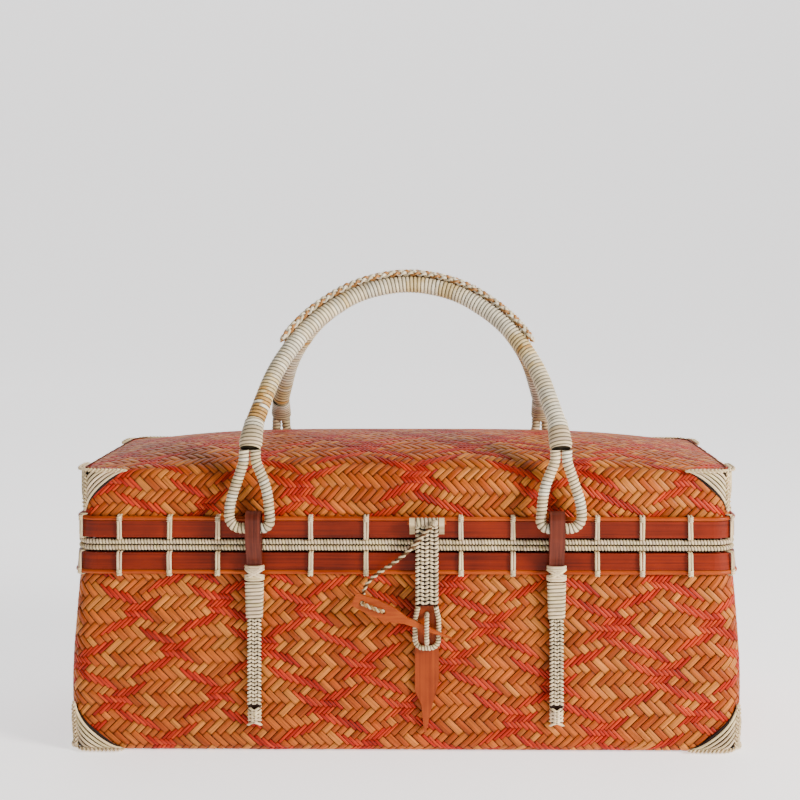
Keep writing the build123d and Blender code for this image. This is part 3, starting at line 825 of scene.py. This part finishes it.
def add_sheet(build, surface, s_values, t_values, h_out=SHEET_OUT, h_in=SHEET_IN):
    """Thin closed sheet that follows a surface, its near-black colour painted shade for the gaps between the
    tiles.
    """
    s, t = np.meshgrid(s_values, t_values)
    outer = surface(s, t, np.full(s.shape, h_out))
    inner = surface(s, t, np.full(s.shape, h_in))
    points = np.concatenate([outer.reshape(-1, 3), inner.reshape(-1, 3)])
    grain = np.concatenate([np.stack([s, t, 0 * s], -1).reshape(-1, 3)] * 2)
    build.add(points, sheet_faces(*s.shape), GAP_SHADE, grain)


families = strip_families(GIRTH / math.sqrt(2))
lid_families = strip_families(GIRTH / math.sqrt(2))

wall_top = BODY_TOP - 0.0004
whole_girth = (-HALF_GIRTH, HALF_GIRTH)


def body_lining_wall(s, t, h):
    """The body's wall seen from inside."""
    return body_wall(s, t, LINING_DEPTH - h)


def on_base(s, t):
    """Whether a place is on the underside, inside the wall's turn."""
    return abs(s) < 0.181 and abs(t) < 0.0715


fronts, backs, linings, base = Build(), Build(), Build(), Build()
weave(
    lambda s: fronts if abs(s) < HALF_GIRTH / 2 else backs,
    body_wall, whole_girth, (0.0, wall_top), TILE_LIFT, True, families,
)
# The body's inside and underside weaves are tinted 0.8 darker: painted shade.
weave(lambda s: linings, body_lining_wall, whole_girth, (0.003, wall_top), 0.0, False, families, 0.8)
weave(
    lambda s: base, base_sheet, (-0.182, 0.182), (-0.072, 0.072), 0.0, False, families, 0.8,
    keep=on_base,
)
# Sheet under the body's weave, coloured as painted shade for the gaps between the tiles.
gap_shade_sheet = Build()
add_sheet(gap_shade_sheet, body_wall, np.linspace(0, GIRTH, 181), np.linspace(0, wall_top, 24))
base_grid = np.linspace(-0.1805, 0.1805, 30), np.linspace(-0.0712, 0.0712, 14)
add_sheet(gap_shade_sheet, base_sheet, *base_grid, -0.0004, -0.0016)

body_front = fronts.piece("weave_body_front", weave_material)
body_back = backs.piece("weave_body_back", weave_material)
body_lining = linings.piece("weave_body_inside", weave_material)
body_base = base.piece("weave_body_base", weave_material)
body_gap_shade = gap_shade_sheet.piece("weave_body_gap_shade", gap_shade_material)
for piece in (body_front, body_back, body_lining, body_base, body_gap_shade):
    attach(piece, "basket")
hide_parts("body_shell")

lid_front, lid_rest, lid_inside = Build(), Build(), Build()
sheet_half = STRAIGHT_X / 2
wall_height = SHOULDER - LID_BOTTOM


def on_sheet(s, t):
    """Whether the long sheet covers this place, rather than the corner walls."""
    on_wall = t < wall_height - 0.001 or t > LID_SPAN - wall_height + 0.001
    return abs(s) < (sheet_half if on_wall else RIM_LENGTH / 2 + 0.0012)


def lid_lining_sheet(s, t, h):
    """The lid's long sheet seen from inside."""
    return lid_sheet(s, t, LINING_DEPTH - h)


def lid_lining_wall(s, t, h):
    """The lid's ends seen from inside."""
    return lid_wall(s, t, LINING_DEPTH - h)


half_lid = RIM_LENGTH / 2
sheet_span = (0.0004, LID_SPAN - 0.0004)
weave(
    lambda s: lid_front, lid_sheet, (-half_lid - 0.003, half_lid + 0.003), sheet_span,
    TILE_LIFT, True, lid_families, keep=on_sheet,
)
end_low, end_high = sheet_half, sheet_half + 2 * QUARTER + STRAIGHT_Y
for span in ((-end_high, -end_low), (end_low, end_high)):
    weave(lambda s: lid_rest, lid_wall, span, (0.0004, wall_height + 0.001), TILE_LIFT, True, lid_families)
    # The lid's inside ends are tinted 0.8 darker: painted shade.
    weave(
        lambda s: lid_inside, lid_lining_wall, span, (0.0004, wall_height - 0.002),
        0.0, False, lid_families, 0.8,
    )
# The lid's inside sheet is tinted 0.8 darker: painted shade.
weave(
    lambda s: lid_inside, lid_lining_sheet, (-half_lid, half_lid), sheet_span,
    0.0, False, lid_families, 0.8, keep=on_sheet,
)
# Sheet under the lid's weave, coloured as painted shade for the gaps between the tiles.
lid_gap_shade = Build()
sheet_grid = np.linspace(-half_lid + 0.001, half_lid - 0.001, 60), np.linspace(0, LID_SPAN, 90)
add_sheet(lid_gap_shade, lid_sheet, *sheet_grid)
for sign in (-1, 1):
    add_sheet(
        lid_gap_shade, lid_wall, np.linspace(end_low, end_high, 50) * sign, np.linspace(0, wall_height, 8)
    )

lid_top = lid_front.piece("weave_lid_top", weave_material)
lid_ends = lid_rest.piece("weave_lid_ends", weave_material)
lid_lining = lid_inside.piece("weave_lid_inside", weave_material)
lid_back = lid_gap_shade.piece("weave_lid_gap_shade", gap_shade_material)
for piece in (lid_top, lid_ends, lid_lining, lid_back):
    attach(piece, "lid")
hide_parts("lid_shell")

# ------------------------------------------------------------- rims of the box

FRONT_TIES = (-0.160, -0.132, -0.105, -0.053, -0.022, 0.031, 0.060, 0.107, 0.132, 0.159)
BACK_TIES = (-0.160, -0.108, -0.058, -0.030, 0.030, 0.058, 0.108, 0.160)
END_TIES = (-0.042, -0.014, 0.014, 0.042)
TIE_INNER = -0.0043


def tie_spots():
    """Place, direction along the wall and outward direction of every tie."""
    half_x, half_y = RIM_LENGTH / 2, RIM_DEPTH / 2
    spots = [((x, -half_y), (1, 0), (0, -1)) for x in FRONT_TIES]
    spots += [((x, half_y), (-1, 0), (0, 1)) for x in BACK_TIES]
    spots += [((half_x, y), (0, 1), (1, 0)) for y in END_TIES]
    spots += [((-half_x, y), (0, -1), (-1, 0)) for y in END_TIES]
    bend = CORNER * (1 - math.sqrt(0.5))
    for x_sign in (-1, 1):
        for y_sign in (-1, 1):
            place = ((half_x - bend) * x_sign, (half_y - bend) * y_sign)
            out = (x_sign * math.sqrt(0.5), y_sign * math.sqrt(0.5))
            spots.append((place, (-out[1], out[0]), out))
    return spots


def add_tie(build, spot, low, high, outer, rod_z):
    """A doubled cane strand round the rim, with a small knot on the rod."""
    (x, y), along, out = spot
    along, out = np.array([*along, 0.0]), np.array([*out, 0.0])
    middle = np.array([x, y, 0.0])
    inner = TIE_INNER
    corners = ((outer, low), (outer, high), (inner, high), (inner, low), (outer, low))
    line = rounded_line([middle + out * o + np.array([0, 0, z]) for o, z in corners], [0.0008] * 3)
    path = Path(line, up=out, samples=90, smooth=False)
    for side in (-0.00072, 0.00072):
        drift = rng.uniform(-0.0003, 0.0003)

        def offset(s, side=side, drift=drift):
            return 0 * s, side + drift * np.sin(s * 90)

        add_strand(build, path, 0.0013, 0.0009, creamy(1)[0], step=0.0016, offset=offset)
    for turn in range(3):
        z = rod_z + (turn - 1) * 0.0010
        ends = [
            middle + out * (outer + 0.0001) + along * -0.0016 + np.array([0, 0, z - 0.0004]),
            middle + out * (outer + 0.0010) + np.array([0, 0, z]),
            middle + out * (outer + 0.0001) + along * 0.0016 + np.array([0, 0, z + 0.0004]),
        ]
        knot = Path(ends, up=out, samples=12)
        add_strand(build, knot, 0.0011, 0.0010, creamy(1)[0], step=0.0008, fade=0.0006)


for part, low, high, outer, rod_z, body, node in (
    ("body", 0.0994, 0.11225, 0.0037, BODY_ROD_Z, "basket", "body_rim_ties"),
    ("lid", 0.11975, 0.1326, 0.0031, LID_ROD_Z, "lid", "lid_rim_ties"),
):
    ties = Build()
    for spot in tie_spots():
        add_tie(ties, spot, low, high, outer, rod_z)
    own(ties, f"rim_ties_{part}", cream_material, body, "cream_cane", node)

coil_s = np.linspace(HALF_GIRTH, HALF_GIRTH + GIRTH, 700)
for part, z, body, node in (
    ("body", BODY_COIL_Z, "basket", "body_edge_coil"),
    ("lid", LID_COIL_Z, "lid", "lid_edge_coil"),
):
    x, y, _, _ = outline(coil_s, RIM_LENGTH / 2 + 0.0004, RIM_DEPTH / 2 + 0.0004)
    hoop = Path(np.stack([x, y, np.full_like(x, z)], -1), samples=700, smooth=False)
    coil = Build()
    add_wrap(coil, hoop, even(0.0015), even(0.0015), 0.0018, creamy(40), relief=0.0004, around=8)
    own(coil, f"edge_coil_{part}", cream_material, body, "cream_cane", node)

# ----------------------------------------------------------- corner lashings


def add_lashing(build, surface, corner_s, edge_t, up_sign, reach_s, reach_t):
    """Braids along the edges of a corner and arched strands between them."""

    def along_edge(sign):
        s = np.linspace(0, sign * reach_s, 30)
        return surface(corner_s + s, np.full(30, edge_t), np.full(30, 0.0012))

    t = np.linspace(0, reach_t, 24) * up_sign
    upright = surface(np.full(24, corner_s), edge_t + t, np.full(24, 0.0012))
    probe_t = edge_t + up_sign * 0.01
    normal = surface(corner_s, probe_t, 1.0) - surface(corner_s, probe_t, 0.0)
    path = Path(upright, up=normal, samples=60, smooth=False)
    add_braid(build, path, 0.0042, 0.0024, 0.0066, creamy(3), cane=0.0013)
    for sign in (-1, 1):
        path = Path(along_edge(sign), up=(0, 0, up_sign * 0.6), samples=60, smooth=False)
        add_braid(build, path, 0.0040, 0.0024, 0.0066, creamy(3), cane=0.0013)
        for k in range(5):
            a = reach_s * (0.30 + 0.155 * k)
            b = reach_t * (0.34 + 0.15 * k)
            f = np.linspace(0, 1, 14)
            s = sign * a * (1 - f) ** 1.35
            rise = b * f**1.35
            lift = np.full(14, 0.0007)
            line = surface(corner_s + s, edge_t + up_sign * rise, lift)
            middle = surface(corner_s + sign * a / 2, edge_t + up_sign * b / 2, np.array([0.0, 1.0]))
            path = Path(line, up=middle[1] - middle[0], samples=40, smooth=False)
            add_strand(build, path, 0.0015, 0.0009, creamy(1)[0], step=0.0016)
    # Two near-black fans under the arched strands: painted shade between them.
    a = np.linspace(0, 1, 10)
    for sign in (-1, 1):
        rows = []
        for h in (0.00025, -0.0003):
            for share in a:
                level = share * reach_t * 0.92
                width = reach_s * 0.9 * (1 - share) ** 1.3 + 0.0006
                s = corner_s + sign * np.linspace(0, 1, 12) * width
                rows.append(surface(s, edge_t + up_sign * level + 0 * s, h + 0 * s))
        points = np.array(rows)
        build.add(points, sheet_faces(10, 12), DEEP_SHADE, points.reshape(-1, 3))


def lid_corner(s, t, h):
    """The lid's corner for lashings: the wall, turning onto the top past its edge."""
    top = SHOULDER - LID_BOTTOM
    s, t, h = np.broadcast_arrays(np.asarray(s, float), t, h)
    over = np.maximum(t - top, 0)
    x, y, nx, ny = outline(s, RIM_LENGTH / 2 - 0.0004, RIM_DEPTH / 2 - 0.0004)
    turn = np.clip(over / 0.002, 0, 1)
    out = h * (1 - turn) - np.maximum(over - 0.001, 0)
    z = LID_BOTTOM + np.minimum(t, top) + h * turn + over * 0.15
    return np.stack([x + nx * out, y + ny * out, z], -1)


for place, corner in zip(("front_right", "back_right", "back_left", "front_left"), CORNERS_S):
    lower, upper = Build(), Build()
    add_lashing(lower, body_wall, corner, 0.0052, 1, 0.027, 0.026)
    add_lashing(upper, lid_corner, corner, wall_height - 0.0004, -1, 0.025, 0.0235)
    for part, made, body in (("body", lower, "basket"), ("lid", upper, "lid")):
        node = f"{part}_corner_lashing_{place}"
        own(made, f"lashing_{part}_{place}", cream_material, body, "cream_cane", node)

# -------------------------------------------------------------------- straps

for side, y_sign, pivot_z, plait_length in (
    ("front", -1, FRONT_PIVOT_Z, 0.050),
    ("back", 1, BACK_PIVOT_Z, 0.038),
):
    for end, x_sign in (("left", -1), ("right", 1)):
        x = STRAP_X * x_sign
        out = np.array([0.0, y_sign, 0.0])
        across = np.array([1.0, 0.0, 0.0])
        up = np.array([0.0, 0.0, 1.0])
        tie_top = pivot_z - 0.0212
        tie_low = tie_top - 0.008
        bind_top = tie_low - 0.0012
        bind_low = bind_top - 0.020
        mid_y = y_sign * (STRAP_FACE + 0.00243)
        binding = Build()
        sleeve = straight_path((x, mid_y, bind_low), (x, mid_y, bind_top), up=(0, y_sign, 0))
        add_wrap(binding, sleeve, even(0.00243), lambda f: 0.00535 - 0.0006 * (1 - f), 0.0021,
                 creamy(12), relief=0.00045, around=18, square=0.55)
        tie_mid = tie_low + 0.004
        turns = ((tie_low + 0.0010, 0.0), (tie_top - 0.0012, 0.0), (tie_mid, 0.0052), (tie_mid, -0.0052))
        for level, tilt in turns:
            for extra in (-0.0007, 0.0007):
                line = [
                    (x - 0.0052, mid_y, level + extra - tilt * 0.5),
                    (x - 0.0030, mid_y + y_sign * 0.0029, level + extra - tilt * 0.3),
                    (x, mid_y + y_sign * 0.0033, level + extra),
                    (x + 0.0030, mid_y + y_sign * 0.0029, level + extra + tilt * 0.3),
                    (x + 0.0052, mid_y, level + extra + tilt * 0.5),
                ]
                add_strand(binding, Path(line, up=out, samples=30), 0.0014, 0.0011, creamy(1)[0], step=0.0012)
        node = f"strap_binding_{side}_{end}"
        own(binding, f"strap_wrap_{side}_{end}", cream_material, "basket", "cream_cane", node)

        plait = Build()
        plait_top = bind_low - 0.00015
        plait_low = plait_top - plait_length
        core_y = y_sign * (STRAP_FACE + 0.0016)
        plait_mid = (plait_top + plait_low) / 2
        add_core(plait, (x, core_y, plait_mid), across, up, out, 0.0037, plait_length / 2, 0.003)
        face = (x, y_sign * (STRAP_FACE + 0.0031), plait_mid)
        columns = ((-0.0040, -0.0014), (-0.0015, 0.0001), (-0.0001, 0.0015), (0.0014, 0.0040))
        add_stitches(plait, face, across, up, out, columns, plait_length, 0.0021, size=0.0015, drop=0.0008)
        knot_mid = plait_low - 0.0045
        add_core(plait, (x, core_y, knot_mid), across, up, out, 0.0030, 0.0038, 0.0032)
        for k in range(4):
            for slant in (-1, 1):
                level = knot_mid + 0.0030 - 0.0020 * k
                line = [
                    (x - 0.0040, core_y - y_sign * 0.0004, level - slant * 0.0021),
                    (x, core_y + y_sign * 0.0026, level),
                    (x + 0.0040, core_y - y_sign * 0.0004, level + slant * 0.0021),
                ]
                path = Path(line, up=out, samples=20)
                add_strand(plait, path, 0.0014, 0.0011, creamy(1)[0], step=0.0012, fade=0.0008)
        for tail in (-1, 1):
            line = [
                (x + tail * 0.0008, core_y + y_sign * 0.0012, knot_mid - 0.0024),
                (x + tail * 0.0026, core_y + y_sign * 0.0010, knot_mid - 0.0046),
                (x + tail * 0.0045, core_y + y_sign * 0.0002, knot_mid - 0.0054),
            ]
            path = Path(line, up=out, samples=20)
            add_strand(plait, path, 0.0014, 0.0011, creamy(1)[0], step=0.0012, fade=0.0005)
        node = f"strap_plait_{side}_{end}"
        own(plait, f"strap_braid_{side}_{end}", cream_material, "basket", "strap_plait", node)

# ------------------------------------------------------------------- handles

FORK_Z, FORK_Y = 0.170, 0.0795
BOW_HALF_SPAN, BOW_BASE_Z, BOW_TOP_Z, BOW_TOP_Y = 0.0865, 0.169, 0.262, 0.0065
BOW_ANGLES = (9, 29, 49, 69.5, 90, 110.5, 131, 151, 171)
lean_run, lean_rise = FORK_Y - BOW_TOP_Y, BOW_TOP_Z - BOW_BASE_Z
lean_length = math.hypot(lean_run, lean_rise)


def bow_line():
    """The hoop's line in its own leaning plane."""
    corners = [
        (BOW_HALF_SPAN * math.cos(math.radians(a)), lean_length * math.sin(math.radians(a)), 0.0)
        for a in BOW_ANGLES
    ]
    return rounded_line(corners, easy_radii(corners))


def from_bow_plane(points, y_sign):
    """Points of the hoop's plane, placed on the front or back."""
    points = np.asarray(points)
    y = FORK_Y - points[:, 1] * lean_run / lean_length
    z = BOW_BASE_Z + points[:, 1] * lean_rise / lean_length
    return np.stack([points[:, 0], y_sign * y, z], -1)


def ring_line(pivot_z, x_sign, y_sign):
    """A teardrop ring's line, from one leg at the fork round to the other."""
    inner, outer = STRAP_X - 0.0093, STRAP_X + 0.0136
    neck = 0.00315

    def spot(x, z):
        share = (z - pivot_z) / (FORK_Z - pivot_z)
        return (x * x_sign, y_sign * (PIVOT_Y - share * 0.003), z)

    points = [
        spot(BOW_HALF_SPAN - neck, FORK_Z),
        spot(BOW_HALF_SPAN - neck, FORK_Z - 0.006),
        spot(inner + 0.0018, FORK_Z - 0.022),
        spot(inner, pivot_z),
        spot(outer, pivot_z),
        spot(outer, pivot_z + 0.013),
        spot(BOW_HALF_SPAN + neck, FORK_Z - 0.006),
        spot(BOW_HALF_SPAN + neck, FORK_Z),
    ]
    radii = easy_radii(points)
    radii[2], radii[3] = 0.0044, 0.0070
    return rounded_line(points, radii)


def bow_radius(share):
    """The grip's radius, a little stouter at both ends."""
    return 0.0050 + 0.0003 * np.abs(2 * share - 1) ** 3


def fork_thickness(share):
    """Half the fork binding's size front to back, from the ring's legs to the bow."""
    return 0.0037 + 0.0020 * share


def fork_width(share):
    """Half the fork binding's size across, drawn in at the ring's legs."""
    return (0.0068 - 0.0011 * share) * (0.84 + 0.16 * np.minimum(1, share * 6))


RIDGE_TINTS = [STRAW[0] * 0.9, STRAW[1] * 0.75, rgb("B07A44")]
for side, y_sign, pivot_z in (("front", -1, FRONT_PIVOT_Z), ("back", 1, BACK_PIVOT_Z)):
    body = f"{side}_handle"
    plane_line = bow_line()
    normal = np.array([0.0, y_sign * lean_rise, lean_run]) / lean_length
    bow_path = Path(from_bow_plane(plane_line, y_sign), up=normal, samples=500, smooth=False)
    bow = Build()
    add_wrap(bow, bow_path, bow_radius, bow_radius, 0.0023, straw_tints(150), relief=0.00055, around=16)
    own(bow, f"bow_wrap_{side}", wrap_material, body, "handle_wrap", f"{side}_handle_bow")

    ridge = Build()
    crest = plane_line
    tangent = np.gradient(crest, axis=0)
    outward = np.stack([tangent[:, 1], -tangent[:, 0], 0 * tangent[:, 0]], -1)
    outward = outward / np.linalg.norm(outward, axis=1)[:, None]
    outward[outward[:, 1] * np.abs(crest[:, 1]) < 0] *= -1
    turn = np.degrees(np.arctan2(crest[:, 1] / lean_length, crest[:, 0] / BOW_HALF_SPAN))
    keep = (turn > 37) & (turn < 143)
    for rise, shift, size in ((0.0078, 0.0, 1.0), (0.0060, 0.0040, 0.9), (0.0060, -0.0040, 0.9)):
        line = from_bow_plane((crest + outward * rise)[keep], y_sign) + normal * shift
        path = Path(line, up=normal, samples=360, smooth=False)
        width = 0.0046 * size
        add_braid(ridge, path, width, width, 0.0125, RIDGE_TINTS, cane=0.0022 * size)
    own(ridge, f"ridge_braid_{side}", wrap_material, body, "handle_wrap", f"{side}_handle_ridge_plait")

    for end, x_sign in (("left", -1), ("right", 1)):
        ring = Build()
        line = ring_line(pivot_z, x_sign, y_sign)
        path = Path(line, up=(0, 1, 0), samples=400, smooth=False)
        tints = creamy(9) + straw_tints(4)
        add_wrap(ring, path, even(0.0030), even(0.0030), 0.0021, tints, relief=0.00055, around=12)
        own(ring, f"ring_wrap_{side}_{end}", cream_material, body, "handle_wrap", f"{side}_handle_ring_{end}")
        fork = Build()
        foot = bow_path.line[0] if x_sign > 0 else bow_path.line[-1]
        legs = np.array([BOW_HALF_SPAN * x_sign, FORK_Y * y_sign, FORK_Z + 0.0007])
        halfway = legs * 0.45 + foot * 0.55 + np.array([0, 0, 0.001])
        path = Path([legs, halfway, foot], up=(0, 1, 0), samples=60)
        tints = creamy(6) + straw_tints(3)
        add_wrap(fork, path, fork_thickness, fork_width, 0.0022, tints, relief=0.0005, around=16)
        node = f"{side}_handle_fork_binding_{end}"
        own(fork, f"fork_wrap_{side}_{end}", cream_material, body, "handle_wrap", node)

# --------------------------------------------------------------------- clasp

across, up, out = np.array([1.0, 0, 0]), np.array([0, 0, 1.0]), np.array([0, -1.0, 0])
tab = Build()
tab_top, tab_low = 0.1285, 0.084
tab_mid_z, tab_length = (tab_top + tab_low) / 2, tab_top - tab_low
add_core(tab, (CLASP_X, -TAB_MID + 0.0002, tab_mid_z), across, up, out, 0.0060, tab_length / 2, 0.0022)
columns = ((-0.0064, -0.0038), (-0.0039, -0.0013), (-0.0013, 0.0013), (0.0013, 0.0039), (0.0038, 0.0064))
for facing in (1, -1):
    face = np.array([CLASP_X, -TAB_MID - facing * 0.0009, tab_mid_z])
    add_stitches(
        tab, face, across, up, out * facing, columns, tab_length, 0.0022, size=0.0016, drop=0.0007
    )
barrel = straight_path((CLASP_X - 0.0062, -TAB_MID, 0.130), (CLASP_X + 0.0062, -TAB_MID, 0.130), up=(0, 0, 1))
add_wrap(tab, barrel, even(0.0027), even(0.0027), 0.0022, creamy(5), relief=0.0005, around=14)
own(tab, "tab_braid", cream_material, "clasp_tab", "cream_cane", "clasp_tab")

loop = Build()
leg_x, leg_top, leg_low = 0.0065, 0.0835, 0.0603
corners = [
    (CLASP_X - leg_x + 0.0016, -TAB_MID, leg_top),
    (CLASP_X - leg_x, -TAB_MID, leg_top - 0.007),
    (CLASP_X - leg_x, -TAB_MID, leg_low),
    (CLASP_X + leg_x, -TAB_MID, leg_low),
    (CLASP_X + leg_x, -TAB_MID, leg_top - 0.007),
    (CLASP_X + leg_x - 0.0016, -TAB_MID, leg_top),
]
path = Path(rounded_line(corners, [0.010, 0.005, 0.005, 0.010]), up=(0, 1, 0), samples=200, smooth=False)
add_wrap(loop, path, even(0.0015), even(0.0015), 0.0017, creamy(7), relief=0.0004, around=10)
own(loop, "tab_loop_wrap", cream_material, "clasp_tab", "cream_cane", "clasp_tab_loop")

staple = Build()
high, low = 0.0787, 0.0639
near_y, far_y = -0.0778, -0.08715
corners = [(CLASP_X, near_y, high), (CLASP_X, far_y, high), (CLASP_X, far_y, low), (CLASP_X, near_y, low)]
path = Path(rounded_line(corners, [0.0032, 0.0032]), up=(1, 0, 0), samples=160, smooth=False)
add_wrap(staple, path, even(0.0013), even(0.0013), 0.0016, creamy(5), relief=0.00035, around=10)
own(staple, "staple_wrap", cream_material, "basket", "cream_cane", "clasp_staple")

slope = math.radians(-21.6)


def on_peg(a, b, lift):
    """Point on the peg: a along it from its butt, b across, lift off its face."""
    x = -0.0284 + a * math.cos(slope) - b * math.sin(slope)
    z = 0.088 + a * math.sin(slope) + b * math.cos(slope)
    return np.array([x, -0.0828 - lift, z])


lacing = Build()
hole_low, hole_high = 0.005, 0.0174
corners = [
    on_peg(hole_low, 0, 0.0013),
    on_peg(hole_low, 0, 0.0038),
    on_peg(hole_high, 0, 0.0038),
    on_peg(hole_high, 0, 0.0002),
]
path = Path(rounded_line(corners, [0.0020, 0.0020]), up=(0, 0, 1), samples=100, smooth=False)
add_twist(lacing, path, TETHER_DIAMETER, 0.0048, (rgb("D8BE92"), rgb("A88050")))
own(lacing, "peg_lacing", cord_material, "clasp_peg", "tether_cord", "clasp_peg_lacing")


def bead_radius(share):
    """The knot's round profile."""
    return 0.0019 * np.sqrt(np.clip(1 - 0.75 * (2 * share - 1) ** 2, 0.05, 1))


bead = Build()
centre = np.array([0.0164, -0.0858, 0.1305])
for axis in ((1, 0, 0), (0, 0.3, 1), (0.4, 1, 0.2)):
    axis = np.array(axis, float) / np.linalg.norm(axis)
    path = straight_path(centre - axis * 0.0016, centre + axis * 0.0016, up=(0.1, 0.2, 0.97))
    add_wrap(bead, path, bead_radius, bead_radius, 0.0010, creamy(3), relief=0.0002, around=14)
own(bead, "tether_knot", cream_material, "clasp_tab", "tether_cord", "clasp_tether_bead")

# ------------------------------------------------- materials of the CAD parts

ivory_material = grained_material("cream_cane_plain", rgb("B09468"), rgb("DCC8A0"), (60, 60, 400), 0.45)
for name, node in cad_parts.items():
    if "strap_fold" in name:
        finish = strip_material
    elif name == "clasp_tongue":
        finish = tongue_material
    elif name == "clasp_peg":
        finish = peg_material
    elif "band" in name or "lining" in name:
        finish = band_material
    elif "eyelet" in name:
        finish = ivory_material
    else:
        finish = rod_material
    node.data.materials.clear()
    node.data.materials.append(finish)

# ---------------------------------------------------------------------- stage


def sweep_backdrop():
    """Pale seamless paper: floor, a wide curve and a wall behind."""
    profile = [(-4.0, 0.0)]
    for share in np.linspace(0, 1, 16):
        turn = share * math.pi / 2
        profile.append((2.2 + 1.6 * math.sin(turn), 1.6 - 1.6 * math.cos(turn)))
    profile.append((3.8, 5.0))
    points = [(x, y, z) for y, z in profile for x in (-6.0, 6.0)]
    faces = [(2 * k, 2 * k + 1, 2 * k + 3, 2 * k + 2) for k in range(len(profile) - 1)]
    mesh = bpy.data.meshes.new("backdrop")
    mesh.from_pydata(points, [], faces)
    mesh.polygons.foreach_set("use_smooth", [True] * len(faces))
    made = bpy.data.objects.new("backdrop", mesh)
    bpy.context.collection.objects.link(made)
    paper = bpy.data.materials.new("pale_paper")
    paper.use_nodes = True
    shader = paper.node_tree.nodes["Principled BSDF"]
    shader.inputs["Base Color"].default_value = (0.93, 0.92, 0.925, 1)
    shader.inputs["Roughness"].default_value = 0.9
    shader.inputs["Emission Color"].default_value = (1, 0.985, 0.99, 1)
    shader.inputs["Emission Strength"].default_value = 1.1
    made.data.materials.append(paper)
    return made


sweep_backdrop()


def softbox(name, location, target, size, power, colour=(1, 1, 1)):
    """A square area light aimed at a point."""
    data = bpy.data.lights.new(name, "AREA")
    data.shape = "SQUARE"
    data.size = size
    data.energy = power
    data.color = colour
    light = bpy.data.objects.new(name, data)
    bpy.context.collection.objects.link(light)
    light.location = location
    light.rotation_euler = (Vector(target) - Vector(location)).to_track_quat("-Z", "Y").to_euler()
    return light


softbox("key", (1.25, -0.85, 0.7), (0.1, 0, 0.1), 0.45, 46, (1.0, 0.95, 0.88))
softbox("fill", (-1.3, -1.5, 0.4), (0, 0, 0.1), 1.0, 3)
softbox("top", (0.1, 0.3, 1.7), (0, 0, 0.1), 1.2, 8)

world = bpy.data.worlds.new("world")
bpy.context.scene.world = world
world.use_nodes = True
world.node_tree.nodes["Background"].inputs["Color"].default_value = (1, 1, 1, 1)
world.node_tree.nodes["Background"].inputs["Strength"].default_value = 0.16
